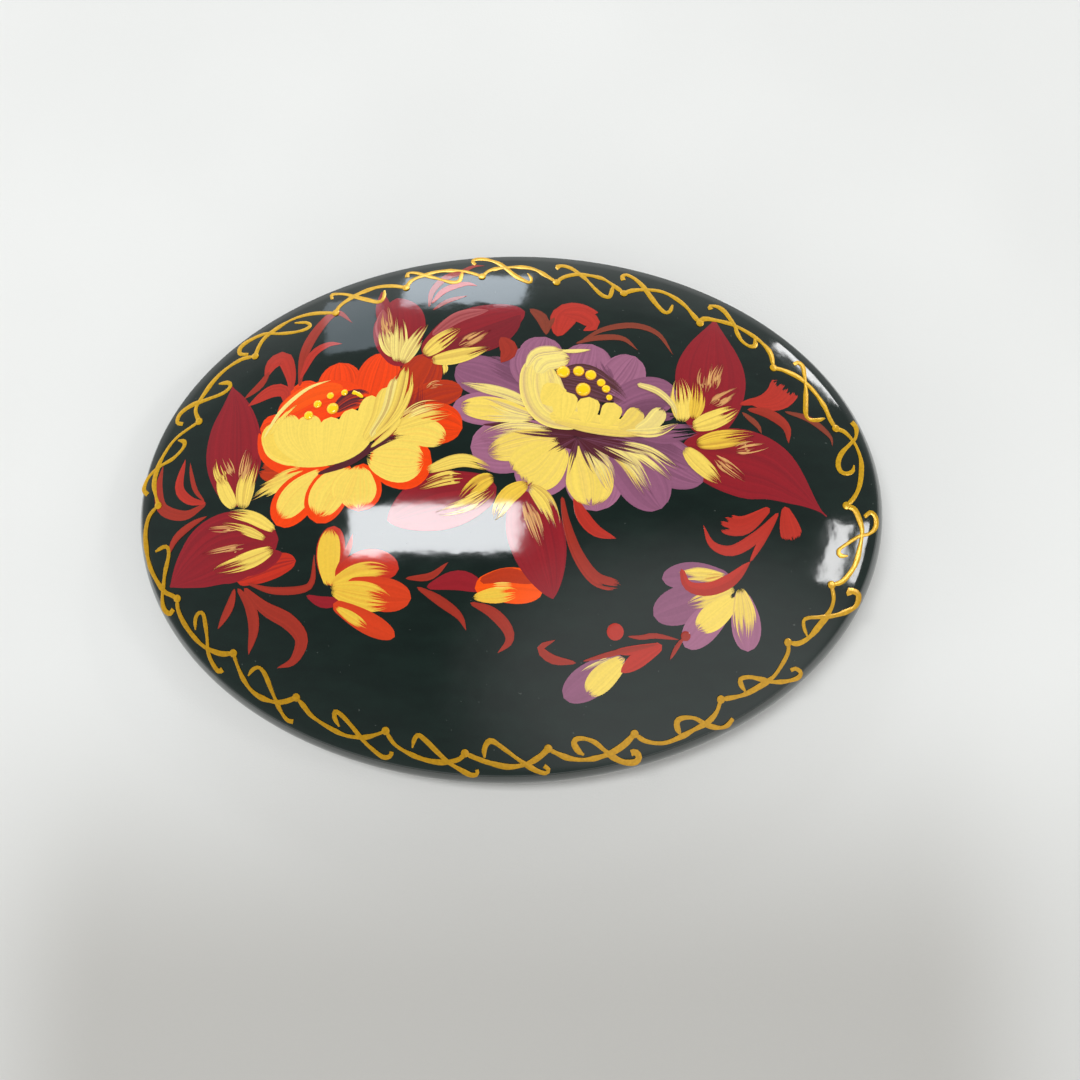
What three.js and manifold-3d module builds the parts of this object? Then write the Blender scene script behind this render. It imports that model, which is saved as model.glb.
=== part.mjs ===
// An oval lacquered barrette: a domed plaque on an automatic hair clip.
// The plaque lies face up, its long side along X, and the clip stands on the plane z = 0.
// The clip is a steel base plate glued into the hollow of the plaque, an arm that is hinged at
// the -X end and snaps over two sprung prongs at the +X end, and a tension leaf between them.
// Millimetres, +Z up, origin under the middle of the plaque.
import * as THREE from 'three';
import { mergeVertices } from 'three/addons/utils/BufferGeometryUtils.js';
import Module from 'manifold-3d';

const wasm = await Module();
wasm.setup();

// Plaque
const plaqueLength = 90;
const plaqueWidth = 65.2;
const domeRise = 7;
const edgeHeight = 2.8;
const edgeFlare = 1.2;
const rimLift = 4;
const crownThickness = 2.4;
const rimLand = 3.4;
const plaqueSides = 72;

// Base plate
const plateGap = 0.4;
const plateLength = 70;
const plateWidth = 9.2;
const plateThickness = 0.8;
const glueHoleX = 20;
const glueHoleRadius = 1.1;

// Hinge
const hingeX = -33.4;
const hingeZ = 1.7;
const pinRadius = 0.65;
const pinClearance = 0.12;
const pinHeadRadius = 1.1;
const pinHeadThickness = 0.5;
const earThickness = 0.8;

// Clasp arm
const armWidth = 7;
const armThickness = 0.8;
const armEndZ = 2;
const armRise = 1.4;
const armTipX = 36.4;
const armFootLength = 1.6;
const armCorner = 1.2;
const eyeRadius = 1.42;
const windowLength = 4.4;
const windowWidth = 4.4;

// Tension leaf
const leafDrop = 0.8;
const leafLength = 56;
const leafWidth = 5;
const leafThickness = 0.4;
const leafHeadWidth = 5.8;
const keeperX = 25;
const keeperLength = 2;

// Catch
const catchX = 31.5;
const catchLength = 3.6;
const catchWidth = 4;
const catchThickness = 0.5;
const prongLength = 3;
const prongInnerY = 1.1;
const prongThickness = 0.5;
const prongTipZ = 0.4;
const barbTopZ = 1.85;
const barbReach = 0.45;
const rivetRadius = 0.6;
const rivetHeadRadius = 0.95;
const rivetHeadThickness = 0.2;

// Glue
const glueLength = 13;
const glueWidth = 12;
const glueSkin = 0.08;

// The clearance between fixed pieces, and the length of a flat facet along an arched strip.
const fit = 0.1;
const facetLength = 3;

// The underside of the plaque along its middle, and the arches that follow it.
const hollowRadius = plaqueLength / 2 - rimLand;
const hollowCrown = rimLift + edgeHeight + domeRise - crownThickness;
const plateArch = { crown: hollowCrown - plateGap, sag: (hollowCrown - rimLift) / hollowRadius ** 2 };
const armArch = { crown: armEndZ + armThickness + armRise, sag: armRise / hingeX ** 2 };

const lacquer = new THREE.MeshStandardMaterial({ color: 0x18201d, roughness: 0.08, metalness: 0 });
const nickel = new THREE.MeshStandardMaterial({ color: 0xb9b7b0, roughness: 0.28, metalness: 1 });
const springSteel = new THREE.MeshStandardMaterial({ color: 0x9a9a98, roughness: 0.35, metalness: 1 });
const epoxy = new THREE.MeshStandardMaterial({ color: 0xd8cfae, roughness: 0.3, metalness: 0 });

const barrette = new THREE.Group();

function addPart(name, geometry, material) {
  const part = new THREE.Mesh(geometry, material);
  part.name = name;
  barrette.add(part);
  return part;
}

// A closed geometry as a solid that can be joined and cut. Triangles that close up at a pole go.
function toSolid(geometry) {
  const bare = geometry.clone();
  bare.deleteAttribute('normal');
  bare.deleteAttribute('uv');
  const merged = mergeVertices(bare, 1e-4);
  const corners = merged.index.array;
  const kept = [];
  for (let i = 0; i < corners.length; i += 3) {
    const [a, b, c] = [corners[i], corners[i + 1], corners[i + 2]];
    if (a !== b && b !== c && c !== a) kept.push(a, b, c);
  }
  const vertProperties = new Float32Array(merged.attributes.position.array);
  return new wasm.Manifold(new wasm.Mesh({ numProp: 3, vertProperties, triVerts: new Uint32Array(kept) }));
}

function toGeometry(solid) {
  const { vertProperties, triVerts } = solid.getMesh();
  const geometry = new THREE.BufferGeometry();
  geometry.setAttribute('position', new THREE.BufferAttribute(new Float32Array(vertProperties), 3));
  geometry.setIndex(new THREE.BufferAttribute(new Uint32Array(triVerts), 1));
  geometry.computeVertexNormals();
  return geometry;
}

// The height of an arch at x.
function archZ(arch, x) {
  return arch.crown - arch.sag * x * x;
}

// Draws an arch into a side outline: a quadratic curve is exactly this parabola.
function followArch(outline, arch, fromX, toX, lift) {
  const pullZ = arch.crown - arch.sag * fromX * toX + lift;
  outline.quadraticCurveTo((fromX + toX) / 2, pullZ, toX, archZ(arch, toX) + lift);
}

// A side outline, in X and Z, pushed out across Y from nearY to farY.
function acrossY(outline, nearY, farY, curveSegments = 10) {
  const geometry = new THREE.ExtrudeGeometry(outline, {
    depth: farY - nearY,
    bevelEnabled: false,
    curveSegments,
  });
  geometry.rotateX(Math.PI / 2);
  geometry.translate(0, farY, 0);
  return geometry;
}

// A plan outline, in X and Y, pushed up through every height of the clip.
function upZ(outline, curveSegments = 8) {
  const geometry = new THREE.ExtrudeGeometry(outline, {
    depth: hollowCrown + 2,
    bevelEnabled: false,
    curveSegments,
  });
  geometry.translate(0, 0, -1);
  return geometry;
}

// A strip that follows an arch: its top lies at the arch plus lift.
function archedStrip(arch, fromX, toX, width, thickness, lift) {
  const side = new THREE.Shape();
  side.moveTo(fromX, archZ(arch, fromX) + lift);
  followArch(side, arch, fromX, toX, lift);
  side.lineTo(toX, archZ(arch, toX) + lift - thickness);
  followArch(side, arch, toX, fromX, lift - thickness);
  side.closePath();
  const facets = Math.max(2, Math.round((toX - fromX) / facetLength));
  return toSolid(acrossY(side, -width / 2, width / 2, facets));
}

function roundedRectangle(fromX, toX, width, corner) {
  const half = width / 2;
  const outline = new THREE.Shape();
  outline.moveTo(fromX + corner, -half);
  outline.lineTo(toX - corner, -half);
  outline.absarc(toX - corner, -half + corner, corner, -Math.PI / 2, 0, false);
  outline.lineTo(toX, half - corner);
  outline.absarc(toX - corner, half - corner, corner, 0, Math.PI / 2, false);
  outline.lineTo(fromX + corner, half);
  outline.absarc(fromX + corner, half - corner, corner, Math.PI / 2, Math.PI, false);
  outline.lineTo(fromX, -half + corner);
  outline.absarc(fromX + corner, -half + corner, corner, Math.PI, 1.5 * Math.PI, false);
  return outline;
}

function roundHole(x, y, radius) {
  const hole = new THREE.Path();
  hole.absarc(x, y, radius, 0, 2 * Math.PI, true);
  return hole;
}

// A round bar along Y at the hinge.
function hingeBar(radius, length) {
  const bar = new THREE.CylinderGeometry(radius, radius, length, 24);
  bar.translate(hingeX, 0, hingeZ);
  return toSolid(bar);
}

// Places a shape that is turned about its own Y square to the slope of the plate at the catch.
const catchSlope = Math.atan(2 * plateArch.sag * catchX);

function placeAtCatch(target) {
  target.rotation.set(Math.PI / 2, catchSlope, 0, 'YXZ');
  target.position.set(catchX, 0, archZ(plateArch, catchX));
  target.updateMatrix();
}

function rivetHole() {
  const hole = new THREE.CylinderGeometry(rivetRadius, rivetRadius, 6, 20);
  const place = new THREE.Object3D();
  placeAtCatch(place);
  return toSolid(hole.applyMatrix4(place.matrix));
}

// Plaque: a domed oval shell with a flared edge, turned as a lathe shape and squeezed across Y.
function turnedOval(profile) {
  const geometry = new THREE.LatheGeometry(profile, plaqueSides);
  geometry.rotateX(Math.PI / 2);
  geometry.scale(1, plaqueWidth / plaqueLength, 1);
  return geometry;
}

function hollowProfile(drop, steps) {
  const points = [];
  for (let i = 0; i <= steps; i += 1) {
    const share = i / steps;
    const z = hollowCrown - (hollowCrown - rimLift) * share ** 2 - drop;
    points.push(new THREE.Vector2(hollowRadius * share, z));
  }
  return points;
}

const domeRadius = plaqueLength / 2 - edgeFlare;
const edgeSteps = 4;
const domeSteps = 12;
const plaqueProfile = hollowProfile(0, 10);
for (let i = 0; i <= edgeSteps; i += 1) {
  const share = i / edgeSteps;
  const r = plaqueLength / 2 - edgeFlare * share ** 1.6;
  plaqueProfile.push(new THREE.Vector2(r, rimLift + edgeHeight * share));
}
for (let i = domeSteps - 1; i >= 0; i -= 1) {
  const share = i / domeSteps;
  const z = rimLift + edgeHeight + domeRise * (1 - share ** 2);
  plaqueProfile.push(new THREE.Vector2(domeRadius * share, z));
}
addPart('plaque', turnedOval(plaqueProfile), lacquer);

// Base plate: a stamped strip with glue holes, two hinge ears and four keepers for the leaf.
const plateStart = -plateLength / 2;
const plateEnd = plateLength / 2;
const plateBlank = roundedRectangle(plateStart, plateEnd, plateWidth, 1.6);
plateBlank.holes.push(roundHole(-glueHoleX, 0, glueHoleRadius));
plateBlank.holes.push(roundHole(glueHoleX, 0, glueHoleRadius));
const plateStrip = archedStrip(plateArch, plateStart, plateEnd, plateWidth, plateThickness, 0);
let plate = plateStrip.intersect(toSolid(upZ(plateBlank)));

function hingeEar(nearY) {
  const topLeft = plateStart + 0.2;
  const topRight = hingeX + 2.6;
  const ear = new THREE.Shape();
  ear.moveTo(topLeft, archZ(plateArch, topLeft) - plateThickness / 2);
  ear.lineTo(hingeX - 1.7, hingeZ);
  ear.lineTo(hingeX - 1.3, 0);
  ear.lineTo(hingeX + 1.3, 0);
  ear.lineTo(hingeX + 1.9, hingeZ);
  ear.lineTo(topRight, archZ(plateArch, topRight) - plateThickness / 2);
  ear.holes.push(roundHole(hingeX, hingeZ, pinRadius + pinClearance));
  return toSolid(acrossY(ear, nearY, nearY + earThickness));
}

// A keeper is a tab bent down from the plate, with a lip under the edge of the leaf.
function leafKeeper(x, side) {
  const wallY = leafWidth / 2 + 0.5;
  const lipTop = -plateThickness - leafDrop - leafThickness - 0.15;
  const wall = archedStrip(plateArch, x - keeperLength / 2, x + keeperLength / 2, 0.5, 2.1, -0.2);
  const lip = archedStrip(plateArch, x - keeperLength / 2, x + keeperLength / 2, 1.3, 0.5, lipTop);
  return wall.translate([0, side * (wallY + 0.25), 0]).add(lip.translate([0, side * (wallY - 0.15), 0]));
}

plate = plate.add(hingeEar(plateWidth / 2 - earThickness));
plate = plate.add(hingeEar(-plateWidth / 2));
for (const x of [-keeperX, keeperX]) {
  plate = plate.add(leafKeeper(x, 1));
  plate = plate.add(leafKeeper(x, -1));
}
plate = plate.subtract(rivetHole());
addPart('base_plate', toGeometry(plate), nickel);

// Glue: a bead of epoxy at each glue hole, squeezed out between the plate and the plaque.
// The hollow of the plaque, less a skin of clearance, is a turned solid that roofs the bead.
function hollowSolid() {
  const underside = hollowProfile(glueSkin, 10).reverse().slice(1);
  const outline = [new THREE.Vector2(0, rimLift), new THREE.Vector2(hollowRadius * 0.9, rimLift)];
  return toSolid(turnedOval([...outline, ...underside]));
}

function glueBead(x) {
  const spread = roundedRectangle(x - glueLength / 2, x + glueLength / 2, glueWidth, 4.5);
  const slab = archedStrip(plateArch, x - glueLength / 2, x + glueLength / 2, glueWidth, 1.1, 1);
  const plateRoom = archedStrip(
    plateArch,
    x - glueLength,
    x + glueLength,
    plateWidth + 2 * glueSkin,
    plateThickness + 1,
    glueSkin,
  );
  return slab.intersect(toSolid(upZ(spread))).intersect(hollowSolid()).subtract(plateRoom);
}

addPart('glue_bead_hinge_end', toGeometry(glueBead(-glueHoleX)), epoxy);
addPart('glue_bead_catch_end', toGeometry(glueBead(glueHoleX)), epoxy);

// Hinge pin: a headed steel pin through the ears and the eye of the arm.
const pinHalf = plateWidth / 2 + fit;
const pinProfile = [
  new THREE.Vector2(0, -pinHalf - pinHeadThickness),
  new THREE.Vector2(pinHeadRadius * 0.8, -pinHalf - pinHeadThickness),
  new THREE.Vector2(pinHeadRadius, -pinHalf - pinHeadThickness / 2),
  new THREE.Vector2(pinHeadRadius, -pinHalf),
  new THREE.Vector2(pinRadius, -pinHalf),
  new THREE.Vector2(pinRadius, pinHalf),
  new THREE.Vector2(pinHeadRadius, pinHalf),
  new THREE.Vector2(pinHeadRadius, pinHalf + pinHeadThickness / 2),
  new THREE.Vector2(pinHeadRadius * 0.8, pinHalf + pinHeadThickness),
  new THREE.Vector2(0, pinHalf + pinHeadThickness),
];
const pin = addPart('hinge_pin', new THREE.LatheGeometry(pinProfile, 24), nickel);
pin.position.set(hingeX, 0, hingeZ);

// Clasp arm: an arched strip with an eye round the pin, a window over the prongs and a turned
// down end, whose foot the barrette stands on.
const footX = armTipX - armFootLength;
const armSide = new THREE.Shape();
const armStartX = hingeX + 0.4;
armSide.moveTo(armStartX, archZ(armArch, armStartX));
followArch(armSide, armArch, armStartX, footX - 0.2, 0);
armSide.quadraticCurveTo(armTipX, archZ(armArch, footX) - 0.15, armTipX, armEndZ - 0.9);
armSide.lineTo(armTipX, 0);
armSide.lineTo(footX, 0);
armSide.lineTo(footX, archZ(armArch, footX) - armThickness);
followArch(armSide, armArch, footX, armStartX, -armThickness);
armSide.closePath();
const armBlank = roundedRectangle(hingeX - eyeRadius, armTipX, armWidth, armCorner);
armBlank.holes.push(roundedRectangle(-20, 20, 2.4, 1.1));
armBlank.holes.push(roundedRectangle(catchX - windowLength / 2, catchX + windowLength / 2, windowWidth, 0.4));
let arm = toSolid(acrossY(armSide, -armWidth, armWidth, 24));
arm = arm.intersect(toSolid(upZ(armBlank)));
arm = arm.add(hingeBar(eyeRadius, armWidth));
arm = arm.subtract(hingeBar(pinRadius + pinClearance, armWidth + 2));
addPart('clasp_arm', toGeometry(arm), nickel);

// Tension leaf: a thin spring strip below the plate. Its wider heads lie outside the keepers.
const leafStart = -leafLength / 2;
const leafEnd = leafLength / 2;
const headStart = keeperX + keeperLength / 2 + 0.3;
const leafBlank = new THREE.Shape();
leafBlank.moveTo(-headStart, -leafWidth / 2);
leafBlank.quadraticCurveTo(0, -leafWidth / 2 + 1, headStart, -leafWidth / 2);
leafBlank.lineTo(headStart, -leafHeadWidth / 2);
leafBlank.lineTo(leafEnd, -leafHeadWidth / 2 + 0.8);
leafBlank.lineTo(leafEnd, leafHeadWidth / 2 - 0.8);
leafBlank.lineTo(headStart, leafHeadWidth / 2);
leafBlank.lineTo(headStart, leafWidth / 2);
leafBlank.quadraticCurveTo(0, leafWidth / 2 - 1, -headStart, leafWidth / 2);
leafBlank.lineTo(-headStart, leafHeadWidth / 2);
leafBlank.lineTo(leafStart, leafHeadWidth / 2 - 0.8);
leafBlank.lineTo(leafStart, -leafHeadWidth / 2 + 0.8);
leafBlank.lineTo(-headStart, -leafHeadWidth / 2);
leafBlank.closePath();
const leafLift = -plateThickness - leafDrop;
const leafStrip = archedStrip(plateArch, leafStart, leafEnd, leafHeadWidth, leafThickness, leafLift);
addPart('tension_leaf', toGeometry(leafStrip.intersect(toSolid(upZ(leafBlank)))), springSteel);

// Catch: a spring saddle riveted below the end of the plate, with two prongs that hang from it
// through the window of the arm. Each prong ends in a barb that points outwards.
const saddleLift = -plateThickness - fit;
const catchStart = catchX - catchLength / 2;
const catchEnd = catchX + catchLength / 2;
const saddleBlank = roundedRectangle(catchStart, catchEnd, catchWidth, 0.4);
const saddle = archedStrip(plateArch, catchStart, catchEnd, catchWidth, catchThickness, saddleLift);
const saddleCut = saddle.intersect(toSolid(upZ(saddleBlank))).subtract(rivetHole());
addPart('catch_saddle', toGeometry(saddleCut), springSteel);

function catchProng(side) {
  const startX = catchX - prongLength / 2;
  const endX = catchX + prongLength / 2;
  const topLift = saddleLift - catchThickness - fit;
  const leg = new THREE.Shape();
  leg.moveTo(startX, archZ(plateArch, startX) + topLift);
  followArch(leg, plateArch, startX, endX, topLift);
  leg.lineTo(endX, prongTipZ + 0.4);
  leg.lineTo(endX - 0.4, prongTipZ);
  leg.lineTo(startX + 0.4, prongTipZ);
  leg.lineTo(startX, prongTipZ + 0.4);
  leg.closePath();
  const outerY = prongInnerY + prongThickness;
  const legY = side > 0 ? [prongInnerY, outerY] : [-outerY, -prongInnerY];
  const barb = new THREE.Shape();
  barb.moveTo(side * (outerY - 0.1), barbTopZ);
  barb.lineTo(side * (outerY + barbReach), barbTopZ - 0.2);
  barb.lineTo(side * (outerY + barbReach), barbTopZ - 0.6);
  barb.lineTo(side * (outerY - 0.1), prongTipZ + 0.2);
  barb.closePath();
  const wedge = new THREE.ExtrudeGeometry(barb, { depth: prongLength - 0.8, bevelEnabled: false });
  const alongX = new THREE.Matrix4().makeBasis(
    new THREE.Vector3(0, 1, 0),
    new THREE.Vector3(0, 0, 1),
    new THREE.Vector3(1, 0, 0),
  );
  wedge.applyMatrix4(alongX);
  wedge.translate(startX + 0.4, 0, 0);
  return toSolid(acrossY(leg, legY[0], legY[1])).add(toSolid(wedge));
}

addPart('catch_prong_upper', toGeometry(catchProng(1)), springSteel);
addPart('catch_prong_lower', toGeometry(catchProng(-1)), springSteel);

// Catch rivet: it stands square to the slope of the plate's end.
const rivetTop = rivetHeadThickness + fit;
const rivetBottom = -plateThickness - catchThickness - 2 * fit;
const rivetProfile = [
  new THREE.Vector2(0, rivetBottom - 0.45),
  new THREE.Vector2(rivetHeadRadius * 0.6, rivetBottom - 0.4),
  new THREE.Vector2(rivetHeadRadius * 0.8, rivetBottom - 0.1),
  new THREE.Vector2(rivetRadius - fit, rivetBottom - 0.1),
  new THREE.Vector2(rivetRadius - fit, fit),
  new THREE.Vector2(rivetHeadRadius, fit),
  new THREE.Vector2(rivetHeadRadius, rivetTop - 0.05),
  new THREE.Vector2(0, rivetTop),
];
const rivet = addPart('catch_rivet', new THREE.LatheGeometry(rivetProfile, 20), nickel);
placeAtCatch(rivet);

export default barrette;
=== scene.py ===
import math
import random

import bpy
from mathutils import Matrix, Vector


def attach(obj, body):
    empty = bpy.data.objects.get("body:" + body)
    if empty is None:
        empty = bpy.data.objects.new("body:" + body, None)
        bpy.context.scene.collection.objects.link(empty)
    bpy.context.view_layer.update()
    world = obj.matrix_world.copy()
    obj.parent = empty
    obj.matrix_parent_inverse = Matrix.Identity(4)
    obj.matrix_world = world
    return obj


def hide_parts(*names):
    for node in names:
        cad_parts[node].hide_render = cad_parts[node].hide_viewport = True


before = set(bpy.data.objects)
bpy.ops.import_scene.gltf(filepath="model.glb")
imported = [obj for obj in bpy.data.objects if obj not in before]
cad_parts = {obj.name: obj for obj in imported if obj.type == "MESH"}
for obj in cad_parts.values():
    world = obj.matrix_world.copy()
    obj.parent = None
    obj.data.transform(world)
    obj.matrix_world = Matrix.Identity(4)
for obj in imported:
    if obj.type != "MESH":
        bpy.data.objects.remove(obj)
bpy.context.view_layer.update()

MM = 0.001

# ---------------------------------------------------------------------------------------------
# Viewpoint: a hand-held look almost straight down on the painted side of the barrette, from just
# beyond its lower edge, with the head tilted a little.

AIM = Vector((4.10, -4.74, 8)) * MM
VIEW_AZIMUTH = math.radians(10)
VIEW_ELEVATION = math.radians(78)
VIEW_TILT = math.radians(-10.3)
VIEW_DISTANCE = 126.3 * MM


def look_from(azimuth, elevation):
    """The unit vector from the object towards a viewer or a light."""
    level = math.cos(elevation)
    return Vector((math.sin(azimuth) * level, -math.cos(azimuth) * level, math.sin(elevation)))


def facing(back, tilt):
    """The three axes of something that looks along minus back, tilted about that line."""
    right = Vector((0, 0, 1)).cross(back).normalized()
    upward = back.cross(right)
    tilted_right = right * math.cos(tilt) + upward * math.sin(tilt)
    tilted_up = upward * math.cos(tilt) - right * math.sin(tilt)
    return Matrix((tilted_right, tilted_up, back)).transposed().to_4x4()


camera_data = bpy.data.cameras.new("camera")
camera_data.sensor_width = 36
camera_data.lens = 36
camera_data.clip_start = 0.005
camera = bpy.data.objects.new("camera", camera_data)
view_back = look_from(VIEW_AZIMUTH, VIEW_ELEVATION)
camera.matrix_world = Matrix.Translation(AIM + view_back * VIEW_DISTANCE) @ facing(view_back, VIEW_TILT)
bpy.context.scene.collection.objects.link(camera)
bpy.context.scene.camera = camera
bpy.context.scene.view_settings.view_transform = "Standard"

# ---------------------------------------------------------------------------------------------
# Studio: a plain pale table, a room that is bright at its walls and dim overhead, a lamp above, a
# cool window beyond the far edge, and narrow strips of light on the right.


class Tone:
    """One shader socket. Arithmetic written on it adds Math nodes to its material."""

    def __init__(self, tree, socket=None):
        self.tree = tree
        self.socket = socket

    def node(self, kind, settings, inputs, output=0):
        """Adds a node: its settings first, then the values or links of its sockets."""
        made = self.tree.nodes.new(kind)
        for name, value in settings.items():
            if name == "stops":
                ramp = made.color_ramp
                while len(ramp.elements) < len(value):
                    ramp.elements.new(0.5)
                for element, (position, colour) in zip(ramp.elements, value):
                    element.position = position
                    element.color = (*colour, 1)
            else:
                setattr(made, name, value)
        for name, value in inputs.items():
            if isinstance(value, Tone):
                self.tree.links.new(value.socket, made.inputs[name])
            else:
                made.inputs[name].default_value = value
        return Tone(self.tree, made.outputs[output])

    def maths(self, operation, *values):
        return self.node("ShaderNodeMath", {"operation": operation}, dict(enumerate(values)))

    def __add__(self, other):
        return self.maths("ADD", self, other)

    def __sub__(self, other):
        return self.maths("SUBTRACT", self, other)

    def __rsub__(self, other):
        return self.maths("SUBTRACT", other, self)

    def __mul__(self, other):
        return self.maths("MULTIPLY", self, other)

    def __gt__(self, other):
        return self.maths("GREATER_THAN", self, other)

    def between(self, low, high):
        """0 below low, 1 above high and a smooth step between them."""
        settings = {"interpolation_type": "SMOOTHSTEP"}
        return self.node("ShaderNodeMapRange", settings, {"Value": self, "From Min": low, "From Max": high})

    def blend(self, kind, amount, low, high):
        """Mixes two colours: low where the amount is 0, and high, or low changed by high, at 1."""
        low, high = (value if isinstance(value, Tone) else (*value, 1) for value in (low, high))
        settings = {"data_type": "RGBA", "blend_type": kind}
        return self.node("ShaderNodeMix", settings, {0: amount, 6: low, 7: high}, 2)

    def tint(self, low, high):
        return self.blend("MIX", self, low, high)


def new_finish(name, constants):
    """A material with its constant sockets set, and the Tone that starts its expressions."""
    material = bpy.data.materials.new(name)
    material.use_nodes = True
    shader = material.node_tree.nodes["Principled BSDF"]
    for socket, value in constants.items():
        shader.inputs[socket].default_value = value
    return material, Tone(material.node_tree), shader


def feed(tone, shader, **inputs):
    """Links tones to a shader's sockets; an underscore in a name stands for a space."""
    for name, value in inputs.items():
        tone.tree.links.new(value.socket, shader.inputs[name.replace("_", " ")])


def place_on(tone):
    """Object coordinates in millimetres."""
    where = tone.node("ShaderNodeTexCoord", {}, {}, "Object")
    return tone.node("ShaderNodeVectorMath", {"operation": "SCALE"}, {0: where, "Scale": 1000.0})


def grain(where, scale, detail=3, roughness=0.5, stretch=(1, 1, 1)):
    """Noise of about scale features per millimetre."""
    stretched = where.node("ShaderNodeVectorMath", {"operation": "MULTIPLY"}, {0: where, 1: stretch})
    inputs = {"Vector": stretched, "Scale": scale, "Detail": detail, "Roughness": roughness}
    return where.node("ShaderNodeTexNoise", {}, inputs)


def relief(tone, height, distance):
    """A normal bent by a height, of which 1 stands distance metres high."""
    return tone.node("ShaderNodeBump", {}, {"Height": height, "Distance": distance, "Strength": 1})


def srgb(red, green, blue):
    """A colour given from 0 to 255 as the eye reads it, in the linear values of a shader."""
    def linear(part):
        share = part / 255
        return share / 12.92 if share < 0.04045 else ((share + 0.055) / 1.055) ** 2.4
    return linear(red), linear(green), linear(blue)


TABLE_SIZE = 4
bpy.ops.object.select_all(action="DESELECT")
bpy.ops.mesh.primitive_plane_add(size=TABLE_SIZE)
table_top = bpy.context.object
table_top.name = "table_top"
table_finish, tone, shader = new_finish("pale table", {"Roughness": 0.55, "Specular IOR Level": 0.3})
where = place_on(tone)
cloud = grain(where, 0.02, 2).between(0.3, 0.7)
# The near side lies in the soft shade of whoever leans over the table.
across = where.node("ShaderNodeSeparateXYZ", {}, {0: where}, 0)
inwards = where.node("ShaderNodeSeparateXYZ", {}, {0: where}, 1)
sides = across.maths("ABSOLUTE", across).between(46, 66) * 0.5
shade = (1 - inwards.between(-58, -16)) * (1 - sides)
lit_colour = cloud.tint(srgb(234, 233, 229), srgb(238, 237, 233))
feed(tone, shader, Base_Color=shade.tint(lit_colour, srgb(189, 186, 180)))
feed(tone, shader, Normal=relief(tone, grain(where, 4), 0.00002))
table_top.data.materials.append(table_finish)

world = bpy.data.worlds.new("studio room")
bpy.context.scene.world = world
world.use_nodes = True
room = Tone(world.node_tree)
ROOM_STOPS = [(0, (1, 1, 1)), (0.2, (0.95, 0.95, 0.95)), (0.5, (0.24, 0.25, 0.255)),
              (0.9, (0.10, 0.105, 0.11))]
WALLS = 1.52
CEILING_GLOW = 0.75
ceiling_side = Vector((0.36, -0.44, 0.82)).normalized()
towards = room.node("ShaderNodeTexCoord", {}, {}, "Generated")
height = room.node("ShaderNodeSeparateXYZ", {}, {0: towards}, 2)
shade = height.node("ShaderNodeValToRGB", {"stops": ROOM_STOPS}, {0: height})
glow = room.node("ShaderNodeVectorMath", {"operation": "DOT_PRODUCT"},
                 {0: towards, 1: ceiling_side}, "Value")
glow = glow.between(0.80, 0.98) * (CEILING_GLOW / WALLS)
background = world.node_tree.nodes["Background"]
background.inputs["Strength"].default_value = WALLS
feed(room, background, Color=room.blend("ADD", 1, shade, glow))


def light_panel(name, centre, size, radiance, colour, turn):
    """A flat rectangular lamp that faces the object. Millimetres, and degrees for its turn."""
    data = bpy.data.lights.new(name, "AREA")
    data.shape = "RECTANGLE"
    data.size = size[0] * MM
    data.size_y = size[1] * MM
    data.energy = radiance * math.pi * data.size * data.size_y
    data.color = colour
    lamp = bpy.data.objects.new(name, data)
    place = Vector(centre) * MM
    lamp.matrix_world = Matrix.Translation(place) @ facing(place.normalized(), math.radians(turn))
    lamp.visible_camera = False
    bpy.context.scene.collection.objects.link(lamp)


light_panel("overhead_lamp", (-226, 83, 882), (183, 420), 15.5, (0.95, 0.975, 1), 20)
light_panel("window", (-138, 837, 375), (250, 125), 7, (0.80, 0.90, 1), -10)
light_panel("window_edge", (-365, 743, 421), (215, 110), 2, (0.75, 0.88, 1), 70)
light_panel("right_strip_inner", (665, 25, 653), (200, 42), 14, (1, 1, 1), -13)
light_panel("right_strip_outer", (709, 27, 610), (200, 31), 14, (1, 1, 1), -13)
light_panel("far_strip", (563, 601, 443), (240, 26), 16, (1, 1, 1), -14)

# ---------------------------------------------------------------------------------------------
# Plaque: a domed oval of thin papier-mache shell, pressed in a mould, its edge turned down. It is
# brushed with very dark green-black ground and, when the painting is dry, with clear lacquer.

HALF_LENGTH = 45.0
HALF_WIDTH = 32.6
RIM_BOTTOM = 4.0
RIM_HEIGHT = 2.8
RIM_TOP = RIM_BOTTOM + RIM_HEIGHT
RIM_FLARE = 1.2
FLARE_CURVE = 1.6
DOME_RISE = 7.0
UNDERSIDE_REACH = 41.6
UNDERSIDE_RISE = 7.4
SPIN_STEPS = 320
OVAL = HALF_WIDTH / HALF_LENGTH
TOP_REACH = HALF_LENGTH - RIM_FLARE


def dome_height(x, y):
    """Height of the painted face above a point, in millimetres."""
    out = (x / TOP_REACH) ** 2 + (y / (TOP_REACH * OVAL)) ** 2
    return RIM_TOP + DOME_RISE * (1 - out)


def steps(count, start=0, end=1):
    """count + 1 even steps from start to end."""
    return [start + (end - start) * i / count for i in range(count + 1)]


profile = [(TOP_REACH * s, dome_height(TOP_REACH * s, 0)) for s in steps(40)[1:]]
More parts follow.
